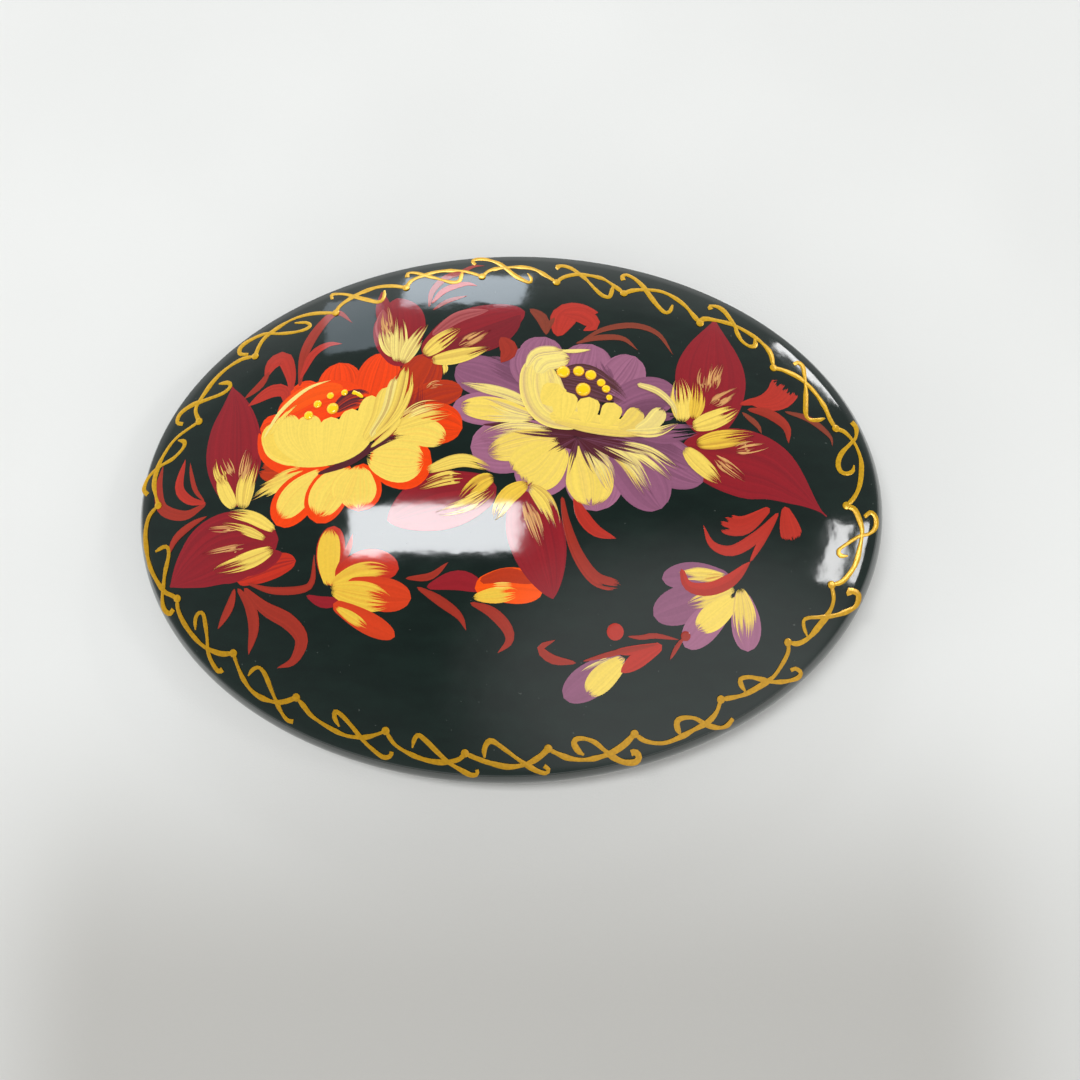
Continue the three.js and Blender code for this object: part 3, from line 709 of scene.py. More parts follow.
orange_peony = Painting("orange_peony", 37)
orange_peony.strokes([
    (ORANGE, DUSKY_ORANGE, 3.8, -25, 7.4, -27.2, 8.4, -29, 8.6, BACK_PETAL),
    (ORANGE, DUSKY_ORANGE, 4.8, -22, 10.2, -23.8, 12.2, -25.4, 13.6, BACK_PETAL),
    (ORANGE, DUSKY_ORANGE, 5.6, -19.6, 10, -19.5, 13.4, -19.8, 16.6, BACK_PETAL),
    (ORANGE, DUSKY_ORANGE, 5.4, -15.6, 10.6, -14.9, 13.8, -14.2, 17.6, BACK_PETAL),
    (DUSKY_ORANGE, DARK_RED, 5.2, -11.4, 11, -9.9, 14, -8.5, 17, BACK_PETAL),
    (DUSKY_ORANGE, DARK_RED, 3.8, -11.8, 9.8, -8, 11.6, -4.7, 12.2, BACK_PETAL),
    (ORANGE, DUSKY_ORANGE, 5.4, -11.6, 7.6, -8, 8, -4.6, 7.3, BACK_PETAL),
    (ORANGE, None, 5.6, -26.8, 9, -22, 11.4, -16, 12, form(0.6, 0.4, 0.5, streak=0.15)),
    (HOT_ORANGE, None, 2.6, -26.4, 10.6, -23, 12.6, -19, 13.2, form(0.6, 0.4, 0.5)),
    (WINE, ORANGE, 2.4, -20, 10.2, -17.8, 11.6, -15.4, 11.6,
     dict(start=0.4, thin=0.5, fray=0.3, track=0.16, feather=0.3)),
    (DARK_RED, DUSKY_ORANGE, 3.6, -14.6, 5.6, -11.4, 8.6, -9.9, 13.8,
     form(0.5, 0.5, 0.7, thin=0.6, track=0.16, fray=0.3, feather=0.3)),
    (DUSKY_ORANGE, None, 3.6, -20.8, 3.2, -24.4, 3.2, -28.8, 3.3,
     dict(start=0.5, peak=0.6, fray=0.1, streak=0.3)),
    (ORANGE, None, 1.7, -19.6, 2.8, -24.4, 3.1, -27.8, 4.9, -29.1, 8,
     form(0.5, 0.5, 0.6)),
    (HOT_ORANGE, None, 1.2, -21, 2.4, -24.4, 2.2, -27.4, 1,
     form(0.5, 0.5, 0.8, fray=0.2)),
    (CREAM, DUSKY_ORANGE, 1.5, -23, 2.8, -26, 1.5, -29.6, -0.3, FULL),
    (CREAM, DUSKY_ORANGE, 1.2, -23, 3.3, -25.8, 2.4, -28.6, 1.3, DRY),
    (ORANGE, None, 4.9, -20.8, 2.6, -23.8, -0.2, -26.2, -3.4, PETAL),
    (CREAM, ORANGE, 3.5, -20.6, 2.6, -23.7, 0.1, -25.8, -2.5, CREAM_PETAL),
    (ORANGE, None, 5, -17.6, 3.2, -20, 0.2, -21.3, -3.4, PETAL),
    (ORANGE, None, 5, -16, 3.4, -16.2, 0.6, -16.4, -2.2, PETAL),
    (CREAM, ORANGE, 4.2, -17.4, 3, -19.9, 0.3, -21.2, -2.6, CREAM_PETAL),
    (CREAM, ORANGE, 4.5, -16.4, 3.2, -16.6, 0.8, -16.4, -1.9, CREAM_PETAL),
    (CREAM, ORANGE, 3, -17, 2.8, -18.2, 0.8, -18.6, -1, CREAM_PETAL),
    (ORANGE, None, 6.3, -15.2, 4.4, -12.2, 3.4, -8, 3.2, form(0.35, 0.6, 0.5)),
    (CREAM, ORANGE, 5.3, -15.6, 4.4, -12.4, 3.7, -8.9, 3.4, CREAM_PETAL),
    (CREAM, ORANGE, 3.4, -12.7, 6.7, -9.4, 7, -6.5, 5.9, CREAM_PETAL),
    (CREAM, DUSKY_ORANGE, 2.2, -12.6, 7.6, -9.2, 8.9, -5.8, 9.2, LONG),
    (PALE_CREAM, DUSKY_ORANGE, 1.6, -12.4, 8.3, -9.6, 10, -6.6, 10.4, DRY),
    (TAN, DUSKY_ORANGE, 1, -9, 12.5, -8, 13, -6.8, 12.9, DRY),
    (WINE, None, 1, -21.4, 2.4, -17.7, 3.7, -14.8, 5.5, -12.4, 6.4, -10.6, 6.6,
     dict(peak=0.4, tip=0.9, fray=0.15, track=0.14, feather=0.3)),
    (CREAM, None, 3.2, -28, 6.6, -25, 5.1, -20.8, 4.9, -17.2, 5.7, -14.9, 7.6,
     form(0.5, 0.5, 0.6, streak=0.05)),
    (mix(CREAM, DEEP_CREAM, 0.4), None, 3.2, -23.4, 4.5, -26.6, 6.1, -27.4, 9.2, CUP),
    (CREAM, None, 3.8, -26.6, 7.7, -22.4, 6.9, -18.4, 7.3, -15.6, 9.2, CUP),
    (CREAM, ORANGE, 3.4, -22.8, 4.3, -25.2, 6.9, -25.8, 10.2, dict(CUP, fray=0.06, feather=0.1)),
    (CREAM, ORANGE, 3.3, -21.6, 4.1, -22.8, 7, -22.9, 9.9, dict(CUP, fray=0.03)),
    (CREAM, None, 2.9, -20.4, 4.1, -20.2, 7, -20.2, 9.4, CUP),
    (CREAM, None, 2.9, -18.9, 4.4, -17.9, 7.4, -17.7, 10.3, CUP),
    (CREAM, None, 2.7, -17.4, 5, -15.9, 8.4, -15.4, 11.9, CUP),
    (CREAM, DARK_RED, 2.4, -15.9, 6.2, -14.2, 9.2, -13.6, 12.9, dict(CUP, thin=0.3)),
    (PALE_CREAM, DARK_RED, 2, -15.2, 6.6, -13.2, 10, -12.5, 14.4, dict(CUP, thin=0.5, fray=0.08)),
    (CREAM, DARK_RED, 1.3, -14.6, 6.9, -12.5, 10.4, -11.5, 15.7, dict(CUP, thin=0.6, fray=0.1)),
    (CREAM, DARK_RED, 0.8, -15.4, 6, -12.3, 9, -10.9, 12.2, -10.8, 15.2,
     dict(peak=0.4, tip=0.8, thin=0.6, track=0.13, fray=0.3)),
    (CREAM, DARK_RED, 0.7, -15.2, 5.3, -12.6, 7.6, -11.4, 9.8,
     dict(peak=0.4, tip=0.8, thin=0.6, track=0.13, fray=0.3)),
    (PALE_CREAM, None, 0.5, -28.4, 7.3, -26.6, 10.5, -24.1, 12.9, -22.1, 13.9, -20.1, 14.4,
     dict(peak=0.4, tip=0.9, track=0.16, fray=0.2)),
    (CREAM, None, 0.5, -27.6, 7.6, -26.2, 9.8, -24.6, 11.3,
     dict(peak=0.4, tip=0.9, track=0.14, fray=0.4)),
    (CREAM, None, 0.4, -28.6, 6.9, -27.6, 5.1, -25.4, 3.9, -22.4, 3.5,
     dict(peak=0.4, tip=0.9, track=0.14, fray=0.3)),
])
orange_peony.dried(oil_finish)

# ---------------------------------------------------------------------------------------------
# Violet peony: the widest flower, in the same oil paint. Violet petals, a near-black heart, and
# long cream strokes that fan out of it and run dry towards the tips.

VIOLET = srgb(144, 88, 116)
DEEP_VIOLET = srgb(118, 70, 94)
LILAC = srgb(162, 102, 130)
HEART = srgb(84, 46, 46)
WASHED = {"fray": 0.5, "head": 0.15, "thin": 0.55, "fade": 0.7, "streak": 0.12, "track": 0.13,
          "feather": 0.45}

violet_peony = Painting("violet_peony", 41)
violet_peony.strokes([
    (VIOLET, None, 5.2, 2.6, 11.6, -1, 13.4, -5.6, 15.2,
     form(0.5, 0.65, 0.5, streak=0.2)),
    (DEEP_VIOLET, VIOLET, 2.6, 3, 12.6, 0.6, 14.6, -2.6, 16.2, LONG),
    (LILAC, None, 4.2, 3.6, 8.6, -1, 9.6, -5.8, 10, form(0.4, 0.6, 0.5, streak=0.15)),
    (LILAC, DEEP_VIOLET, 5.4, 4.6, 14, 4.4, 16.6, 4.9, 19.2, BACK_PETAL),
    (LILAC, DEEP_VIOLET, 3.6, 3.4, 12.6, 2.5, 15.4, 2.6, 17.8, BACK_PETAL),
    (LILAC, DEEP_VIOLET, 5.8, 9, 13.4, 9.8, 15.8, 10.4, 18.2, BACK_PETAL),
    (LILAC, DEEP_VIOLET, 5.2, 12, 11.6, 13.8, 13.8, 15.5, 16.6, BACK_PETAL),
    (VIOLET, None, 5.2, 13, 9.6, 16.4, 11.2, 20.2, 12, form(0.7, 0.5, 0.5, streak=0.25)),
    (DEEP_VIOLET, VIOLET, 3, 14, 8.8, 17.4, 9.6, 20.4, 9.4,
     form(0.7, 0.5, 0.5, streak=0.2, fray=0.3, thin=0.5)),
    (DEEP_VIOLET, LILAC, 1.6, 12.8, 13.4, 11.8, 14.6, 11.2, 16.2, LONG),
    (HEART, VIOLET, 5.2, 6, 13, 9.6, 12.4, 14.4, 10.4,
     form(0.6, 0.45, 0.6, fray=0.3, thin=0.3, track=0.16, feather=0.3)),
    (HEART, VIOLET, 2.8, 6.8, 14.2, 9.8, 14, 12.6, 12.8,
     form(0.5, 0.4, 0.6, thin=0.5, fray=0.3, track=0.16, feather=0.3)),
    (LILAC, None, 6.6, 5.8, 6.8, 1.4, 5.2, -3.6, 5, form(0.4, 0.6, 0.5, streak=0.2)),
    (LILAC, None, 6.6, 7.4, 6.4, 5, 2.8, 2.4, -0.2, form(0.5, 0.55, 0.5, streak=0.2)),
    (LILAC, None, 6.6, 8.6, 6.4, 10.2, 2.2, 10.7, -2.6,
     form(0.35, 0.62, 0.5, streak=0.2)),
    (VIOLET, None, 5.8, 12.2, 6.4, 17.6, 4, 22.8, 1, form(0.4, 0.6, 0.6, streak=0.3)),
    (DEEP_VIOLET, VIOLET, 2.6, 14, 6, 18.4, 4.6, 22.4, 2.4, LONG),
    (VIOLET, None, 6, 10.8, 6.4, 14.9, 2.4, 18, -2.2,
     form(0.35, 0.65, 0.5, streak=0.25)),
    (VIOLET, DEEP_VIOLET, 2.4, 15.6, 6.4, 19, 6.6, 22.8, 7.2, LONG),
    (WINE, VIOLET, 1.6, -2.2, 7.7, 2.2, 7.6, 5.6, 6.3, 9, 5.6, 12.6, 5.8, 16.8, 5.3,
     form(0.1, 0.5, 0.9, thin=0.4, track=0.16, fray=0.2, feather=0.2)),
    (WINE, None, 2.4, 4.2, 7, 8.6, 5.7, 12.6, 6,
     form(0.3, 0.5, 0.9, track=0.16, fray=0.3, feather=0.3)),
    (PALE_CREAM, VIOLET, 1.3, 3.4, 10.2, 0.4, 11.6, -5, 13.1,
     form(0.3, 0.5, 0.7, fray=0.3, thin=0.4, track=0.14, feather=0.3, head=0.2)),
    (PALE_CREAM, VIOLET, 0.6, 3.8, 9.6, 0.6, 11, -2.8, 12.2, WASHED),
    (CREAM, LILAC, 3, 3.4, 8.7, -0.8, 9.6, -4.9, 10.1, CREAM_PETAL),
    (PALE_CREAM, LILAC, 1.4, 4, 8.5, 0.8, 9.4, -2.6, 11, WASHED),
    (PALE_CREAM, LILAC, 0.9, 3.6, 8.2, 0.6, 8.4, -2.8, 8.5, WASHED),
    (PALE_CREAM, LILAC, 2.6, 5.6, 6.8, 1.4, 6.7, -2.6, 6, WASHED),
    (CREAM, LILAC, 3.6, 6.4, 6, 2.2, 5.2, -1.6, 4.2,
     form(0.4, 0.5, 0.5, fray=0.16, head=0.1, fade=0.9, thin=0.3, track=0.14, feather=0.2)),
    (CREAM, LILAC, 4.9, 7, 5.2, 5, 2.8, 2.9, 0.2, CREAM_PETAL),
    (CREAM, LILAC, 3.8, 5.6, 5.2, 3, 3.4, 1.2, 2, CREAM_PETAL),
    (CREAM, LILAC, 5.4, 8.4, 5, 9.8, 1.6, 10.1, -2,
     form(0.22, 0.6, 0.5, fray=0.1, fade=1, thin=0.12, track=0.16, feather=0.1)),
    (PALE_CREAM, LILAC, 1.8, 9, 5.2, 11, 3, 12.4, -0.4, WASHED),
    (PALE_CREAM, LILAC, 1, 9.4, 5.4, 12, 3.2, 13, 0.8, WASHED),
    (CREAM, VIOLET, 1.3, 11.4, 5.2, 14.2, 2.8, 16.2, -0.8, WASHED),
    (PALE_CREAM, VIOLET, 1.6, 11.6, 5.4, 14.6, 3.2, 17, -0.6, WASHED),
    (PALE_CREAM, VIOLET, 1.4, 12.6, 5.4, 16.2, 3.8, 19.4, 1, WASHED),
    (PALE_CREAM, VIOLET, 1, 11, 5.6, 13.8, 4, 16.4, 1, WASHED),
    (PALE_CREAM, VIOLET, 0.9, 13.4, 5.6, 16.8, 4.6, 20.2, 2.4, WASHED),
])

HEART_MIDDLE = (8.6, 6.1)
for tip in [(4.6, 3.6), (7.4, 1.4), (10.6, 1.6), (12.6, 2), (15.4, 2.6), (17.6, 4), (1, 6.9)]:
    half_way = mix(HEART_MIDDLE, tip, 0.45)
    violet_peony.stroke(WINE, 0.8, [HEART_MIDDLE, half_way, tip], under=VIOLET, **LONG)
WALL_CREAM = mix(CREAM, PALE_CREAM, 0.6)
violet_peony.strokes([
    (WALL_CREAM, LILAC, 5, 9.4, 8.1, 5.5, 9.9, 4.1, 13.6, 4.4, 16.6,
     form(0.5, 0.5, 0.5, streak=0.14, thin=0.5, track=0.16, fray=0.08, feather=0.1)),
    (WALL_CREAM, LILAC, 3.8, 9.4, 8.6, 6, 10.4, 5, 13.4, 5.3, 15.8,
     form(0.5, 0.5, 0.5, streak=0.12, thin=0.35, track=0.16, fray=0.3, head=0.1, feather=0.3)),
    (PALE_CREAM, LILAC, 2.4, 3.9, 14.2, 5, 15.7, 7.8, 16.2,
     form(0.6, 0.6, 0.5, fray=0.12, thin=0.3, track=0.15, feather=0.15)),
    (PALE_CREAM, LILAC, 1.6, 2.7, 15, 4, 16.9, 7.6, 17.3,
     form(0.3, 0.5, 0.8, fray=0.2, thin=0.5, track=0.15, feather=0.2)),
    (PALE_CREAM, LILAC, 0.5, 6.8, 17.2, 8.4, 17.2, 10.2, 17.4, form(0.6, 0.4, 0.9)),
    (CREAM, None, 3, 4.6, 10.2, 5.7, 11.4, 6.4, 12.8, CUP),
    (CREAM, VIOLET, 2.4, 5.4, 8.8, 11.4, 7.6, 17, 7.1,
     form(0.4, 0.4, 0.7, fray=0.08, track=0.16, feather=0.1, thin=0.1)),
    (CREAM, None, 3, 6.9, 8.2, 7.1, 10, 7.2, 11.8, CUP),
    (CREAM, None, 2.6, 9.4, 7.8, 9.8, 9.3, 10, 11.1, CUP),
    (CREAM, None, 2.4, 11.4, 7.5, 12.3, 8.8, 12.9, 10.4, CUP),
    (CREAM, VIOLET, 2.2, 13.3, 7.2, 14.7, 8.2, 15.8, 9.7, dict(CUP, thin=0.2, fray=0.05)),
    (PALE_CREAM, VIOLET, 2, 15.2, 6.9, 17, 7.9, 18.5, 9.8, dict(CUP, thin=0.4, fray=0.08)),
    (PALE_CREAM, VIOLET, 1.1, 14, 6.8, 17.4, 6.8, 20.2, 8,
     form(0.4, 0.5, 0.8, fray=0.4, thin=0.7, track=0.14, feather=0.3)),
    (CREAM, VIOLET, 0.8, 6, 8, 9.8, 7, 14.6, 6.5, 18.8, 6.8,
     form(0.4, 0.5, 0.9, fray=0.3, thin=0.4, track=0.14, feather=0.3)),
    (PALE_CREAM, VIOLET, 0.8, 15.6, 12.9, 18, 12, 19.7, 10.2, 20.1, 8.2,
     form(0.6, 0.3, 0.9, thin=0.4, track=0.16, fray=0.2)),
])
violet_peony.dried(oil_finish)

# ---------------------------------------------------------------------------------------------
# Small flowers: one orange and one violet, and a bud of each, between the large flowers and the
# border. The same oil paint, in three or four strokes of cream over colour.

EMBER = srgb(212, 62, 24)

small_flowers = Painting("small_flowers", 53)
small_flowers.strokes([
    (CRIMSON, None, 1.3, -22.4, -11.6, -20.4, -12.4, -18, -12.3, dict(start=0.2, tip=0.8)),
    (ORANGE_RED, None, 3.4, -19.4, -10.6, -19.6, -7.2, -19.2, -3.8, PETAL),
    (DEEP_CREAM, ORANGE_RED, 2.7, -19.6, -10.8, -19.8, -7.4, -19.6, -4.1, CREAM_PETAL),
    (RED, None, 0.7, -19, -9.2, -17.6, -6.8, -17, -4.8, dict(tip=0.9)),
    (ORANGE_RED, None, 3.6, -19, -9.8, -15.4, -8.4, -11.6, -8.9, PETAL),
    (DEEP_CREAM, ORANGE_RED, 3.2, -19.6, -10.6, -16, -9.7, -12.4, -9.4, FULL),
    (EMBER, None, 3.8, -17.8, -10.6, -14, -11.6, -10.2, -12.2, PETAL),
    (DEEP_CREAM, EMBER, 3.3, -19.6, -10.9, -16, -11.8, -12.4, -12.5, FULL),
    (EMBER, None, 2.5, -19.2, -12.6, -15.6, -14.6, -12.1, -16.4, PETAL),
    (DEEP_CREAM, EMBER, 1.2, -18.9, -13, -17, -14.2, -15.2, -15.4, FULL),
    (CRIMSON, None, 2.2, -8.4, -11, -4.8, -10.3, -1.6, -11.4, dict(start=0.2, tip=0.8)),
    (HOT_ORANGE, None, 4, -3, -11.2, 0.8, -10.9, 4.7, -11.4, PETAL),
    (DUSKY_ORANGE, None, 1.6, -2.4, -10.4, 0.8, -9.8, 3.8, -10.6, dict(start=0.4, tip=0.8)),
    (DEEP_CREAM, HOT_ORANGE, 1.8, -3.2, -12.2, -0.8, -12, 1.9, -11.7, FULL),
    (CREAM, HOT_ORANGE, 0.7, -2, -11, 0, -10.9, 2, -10.9, DRY),
    (VIOLET, None, 3, 25.6, -10, 21.6, -9.7, 17.9, -10.1, PETAL),
    (VIOLET, None, 4.2, 24.8, -11.4, 20.6, -12.8, 16.9, -14.2, PETAL),
    (LILAC, None, 3.6, 25.6, -12.4, 22.8, -15, 20.4, -17.6, PETAL),
    (LILAC, None, 3.4, 26.8, -11.4, 27.4, -14.8, 27.6, -18, PETAL),
    (CREAM, VIOLET, 1.4, 25.2, -9.7, 22.4, -9.5, 19.2, -9.6, FULL),
    (CREAM, VIOLET, 1.8, 26.2, -11.1, 23.6, -12, 20.6, -13, FULL),
    (CREAM, LILAC, 2.9, 26.4, -11.9, 24.2, -13.8, 21.8, -15.7, CREAM_PETAL),
    (CREAM, LILAC, 2.7, 26.8, -11, 27.2, -13.8, 27.4, -17.3, LONG),
    (RED, None, 1.6, 20.1, -9, 20.8, -10.8, 22.9, -11.2, 25.6, -10.2, 28, -8,
     dict(start=0.3, tip=0.8, streak=0.2)),
    (CREAM, RED, 1.2, 24.8, -9.6, 22.6, -9.9, 21.2, -9.9, DRY),
    (VIOLET, None, 3.8, 13.6, -18.9, 10.4, -20.9, 6.8, -23.2, PETAL),
    (CREAM, VIOLET, 2.8, 13.7, -18.9, 11.4, -20.8, 9.4, -22.8, CREAM_PETAL),
    (PALE_CREAM, VIOLET, 0.6, 12.4, -18.7, 10.2, -19.6, 8.4, -20.6, DRY),
    (RED, None, 1.8, 17.8, -17.4, 15.6, -18.7, 13.2, -20.4, dict(start=0.5, tip=0.7, streak=0.2)),
    (RED, None, 1, 17.6, -17.4, 14.6, -18, 12.2, -18.2, dict(start=0.5, tip=0.8)),
])
small_flowers.dried(oil_finish)

# ---------------------------------------------------------------------------------------------
# Stamens: beads of thick yellow paint in the throats of the two peonies, let fall from the end of
# the brush handle, each with a warm orange edge where it sank into the colour under it.

YELLOW = srgb(255, 212, 10)
YELLOW_EDGE = srgb(236, 150, 10)
stamens = Painting("yellow_stamens", 61)
stamens.lift = FIRST_COAT + 0.07
ORANGE_PEONY_BEADS = [(-23, 9.8, 0.58), (-22, 11.2, 0.52), (-20.5, 12.2, 0.45), (-20.1, 10.5, 0.74),
                      (-18.8, 12.5, 0.42)]
VIOLET_PEONY_BEADS = [(7, 14.4, 0.8), (8.8, 14.5, 0.68), (10.2, 14, 0.68), (11.4, 13, 0.52),
                      (11.95, 12.2, 0.5), (12.3, 11.1, 0.38), (9.3, 12.1, 0.88)]
for x, y, radius in ORANGE_PEONY_BEADS + VIOLET_PEONY_BEADS:
    stamens.dot(YELLOW, x, y, radius, 0.30 * radius, YELLOW_EDGE)
fallen_bead = [(-17.8, 12.5), (-17.1, 12.2), (-16.5, 11.7)]
stamens.stroke(YELLOW, 0.5, fallen_bead, **form(0.8, 0.5, 0.5, crown=0.06))
stamens.dried(oil_finish)

# ---------------------------------------------------------------------------------------------
# Gold border: bronze powder in varnish, drawn freehand with a fine liner brush. A wavy line joins
# the inward knots round the rim, and one S-shaped hook crosses the line in every scallop.

KNOTS = [(-41.7, 0), (-37.2, 10.3), (-30.8, 18.6), (-21, 24), (-12.4, 27.2), (-3, 28.5), (6.2, 27.4),
         (14.4, 25.8), (23.5, 21.7), (32.1, 16), (39.2, 8.5), (39.8, -1), (37.6, -10.3), (32.3, -16.9),
         (24.5, -23.3), (14.7, -27.1), (5, -28.7), (-4.4, -29.2), (-13.4, -26.7), (-23.8, -22.9),
         (-31.4, -17.8), (-38.6, -11.3)]
SCALLOPS = [
    [-42.5, 2.5, -42.3, 4.5, -41.5, 6.5, -40, 8.5],
    [-37.9, 12.1, -36.9, 14.2, -35.8, 15.9, -34.4, 17.3, -32.5, 18.4],
    [-30.5, 20, -29.9, 21.2, -28.8, 22.2, -27, 23.4, -25.3, 24, -23.5, 24.2],
    [-20.6, 25, -19.5, 26, -18, 26.9, -16, 27.6, -14, 27.6],
    [-11.8, 28.3, -10.5, 29, -8.5, 29.6, -6, 29.6, -4.5, 29.2],
    [-2, 29.5, 0, 29.9, 2, 29.9, 3.5, 29.5, 5, 28.4],
    [7, 28.2, 8.5, 28.7, 10, 28.6, 11.8, 28.1, 13.2, 27],
    [15.5, 26.3, 17.2, 26.5, 19, 26.3, 20.5, 25.5, 21.8, 24.3, 22.8, 22.8],
    [24, 22.4, 25.5, 22.3, 27.5, 21.8, 29.3, 20.8, 30.9, 19.5, 31.9, 18],
    [33.5, 15.7, 35.3, 14.8, 36.8, 13.3, 38, 11.3, 38.6, 9.6],
    [40.3, 8.1, 41.4, 6.8, 42, 5, 42, 3.5, 41.6, 1.5, 40.8, 0],
    [40.8, -1.4, 41.4, -2.8, 41.6, -4, 41.2, -6, 40.5, -8, 39, -9.8],
    [37.8, -12, 37.2, -13.5, 36, -15, 34.8, -16.3, 33.5, -17],
    [32.3, -18, 31.5, -19.5, 30.5, -20.8, 29, -21.8, 27, -22.8],
    [24, -24.7, 23, -25.8, 21.5, -26.6, 20, -27.4, 18, -28.1, 16, -27.9],
    [13.5, -28.3, 11.8, -29.3, 9.5, -29.9, 7.5, -29.8, 5.9, -29.2],
    [4, -29.6, 2.5, -30.4, 0.5, -30.7, -1.5, -30.3, -3, -29.8],
    [-5.2, -29.9, -7, -30.2, -9, -29.9, -11, -29.1, -12.5, -28.1],
    [-14.5, -27.1, -16, -27.4, -18, -27.2, -20, -26.3, -22, -25, -23, -23.8],
    [-25, -23.3, -26.3, -23.4, -28, -22.9, -29.3, -22, -30.3, -20.6, -31, -19],
    [-33, -17.8, -35, -17, -36.5, -15.7, -37.8, -14, -38.5, -12.5],
    [-39.3, -10.9, -40.3, -10.4, -41.3, -9.2, -42.4, -7.3, -43, -5, -43.2, -3, -42.8, -1.2],
]
HOOKS = [
    [-43.3, 1.5, -43.9, 2.2, -43.4, 3.7, -42, 4.9, -40.2, 5.8, -39, 7, -38.9, 7.8, -39.8, 8.1],
    [-39.4, 10.2, -40.2, 10.5, -40, 11.6, -38.6, 12.6, -36.5, 13.2, -34.5, 13.8, -33.6, 14.6, -33.9,
     15.2, -35.2, 15.2],
    [-31.8, 19, -32.9, 19.2, -33, 20.1, -32, 21, -30, 21.8, -28, 21.6, -26, 21.6, -24.6, 21.9, -24.1,
     22.4, -24.7, 22.9, -26.2, 23],
    [-21.7, 26.2, -21.9, 26.9, -21.2, 27, -20, 26.8, -18.8, 26.3, -17.5, 25.8, -15.7, 25.2, -15.1, 25.8,
     -15.1, 27],
    [-12.4, 28.9, -12.3, 29.6, -11.2, 29.5, -9.5, 28.8, -8, 28.2, -6.6, 27.7, -5.8, 27.9, -5.6, 28.6,
     -5.5, 29.4],
    [-3.9, 30.5, -4.3, 31, -4, 31.4, -2.8, 31.4, -1.3, 30.8, -0.3, 30, 0.8, 28.8, 1.9, 27.9, 2.9, 27.4,
     3.1, 28, 2.6, 28.9],
    [6.5, 29.6, 6.2, 30, 7, 30.1, 8, 29.7, 9, 28.8, 9.9, 27.8, 10.9, 26.4, 11.8, 25.4, 12.6, 25.2, 12.9,
     26, 13.1, 27],
    [14.4, 27.9, 14.3, 28.5, 14.8, 28.8, 15.8, 28.2, 16.8, 27, 17.6, 25.5, 18.5, 24, 19.3, 23.1, 19.9,
     23.3, 20.3, 24.3],
    [25, 23.9, 24.9, 24.4, 25.8, 24.4, 26.6, 23.8, 27.2, 22.8, 27.8, 21.6, 28, 20.6, 28.5, 19.5, 29.4,
     18.8, 30.1, 19, 30.1, 20],
    [34.7, 16.7, 35.3, 17, 35.8, 16.5, 35.9, 15.5, 35.9, 13.5, 35.7, 11.5, 35.6, 10, 36, 9.4, 37, 9.4,
     37.9, 9.7],
    [41.3, 9.5, 41.8, 8.8, 41.6, 7.5, 40.8, 6.6, 39.6, 5.3, 39.1, 4, 39.4, 3.1, 40.2, 2.9, 40.9, 3.3,
     41.1, 4],
    [42, -2.2, 42.8, -1.6, 43.4, -2.2, 43.3, -3.4, 42.4, -4.2, 41.3, -4.5, 39.8, -5.4, 38.6, -6.3, 38.8,
     -6.9, 39.7, -6.9],
    [39.8, -11.4, 39.7, -10.9, 40.5, -11, 40.9, -11.5, 40.5, -12.6, 39.3, -13.3, 37.7, -13.8, 36, -14,
     34.8, -14.1, 34.2, -14.4, 34.2, -15.2, 34.6, -16.2],
    [32.6, -20, 33.2, -19.8, 33.8, -20.2, 33.5, -20.8, 32.2, -21.2, 30.5, -21.3, 29, -21, 27.8, -20.8,
     26.8, -21, 26.8, -21.6, 27.3, -22.4],
    [25.9, -25.4, 25.2, -26.2, 24.2, -26.4, 22.9, -26.1, 21.6, -25.4, 20.4, -25.3, 19.6, -25.6, 19.5,
     -26.3, 19.9, -27.2],
    [14.3, -29.2, 14.8, -29.1, 15.2, -29.6, 14.8, -30.2, 13.5, -30.2, 12.2, -29.6, 11.2, -28.8, 10.2,
     -28, 9, -27.6, 8.1, -27.7, 7.9, -28.2, 8.4, -29, 9, -29.4],
    [4.5, -30.6, 5, -31, 4.7, -31.4, 3.8, -31.2, 2.7, -30.6, 1.5, -29.8, 0, -28.7, -1.2, -27.9, -1.8,
     -28, -2.2, -28.8, -2.2, -29.7],
    [-3.1, -31, -3.1, -31.5, -3.8, -31.6, -5, -31, -6.3, -30.2, -7.5, -29.1, -8.7, -27.9, -9.6, -27.2,
     -10.1, -27.6, -10.4, -28.6],
    [-12.8, -29, -13, -29.5, -13.8, -29.6, -14.8, -28.9, -16, -27.8, -17.3, -26.2, -18.4, -25, -19.2,
     -24.5, -19.3, -25.2, -18.8, -26.2],
    [-24.3, -25.6, -25, -25.4, -25.7, -24.5, -26.3, -23.2, -26.9, -21.8, -27.5, -20.3, -28.2, -19.5,
     -29, -19.7, -29.6, -20.4],
    [-32.8, -19.6, -33.3, -19.8, -34, -19, -34.6, -17.6, -34.7, -16, -34.9, -14.5, -35.2, -13.2, -35.8,
     -13.1, -36.2, -13.8, -36.2, -15],
    [-39.1, -12.5, -39.6, -13, -40.3, -12.5, -40.6, -11.5, -40.5, -10, -40.3, -8.2, -39.9, -6.3, -40,
     -5.3, -40.6, -5.1, -41.7, -5.6],
]
# The gold is painted darker towards the lower edge and lighter towards the top, as if lit from beyond the
# far edge: painted shade and painted light, not a change in the paint itself.
GOLD = srgb(216, 164, 18)
SHADED_GOLD = srgb(194, 142, 12)
PAINTED_LIGHT_SPAN = (-22, 4)
gold_border = Painting("gold_border", 71)
gold_border.lift = FIRST_COAT + 0.01
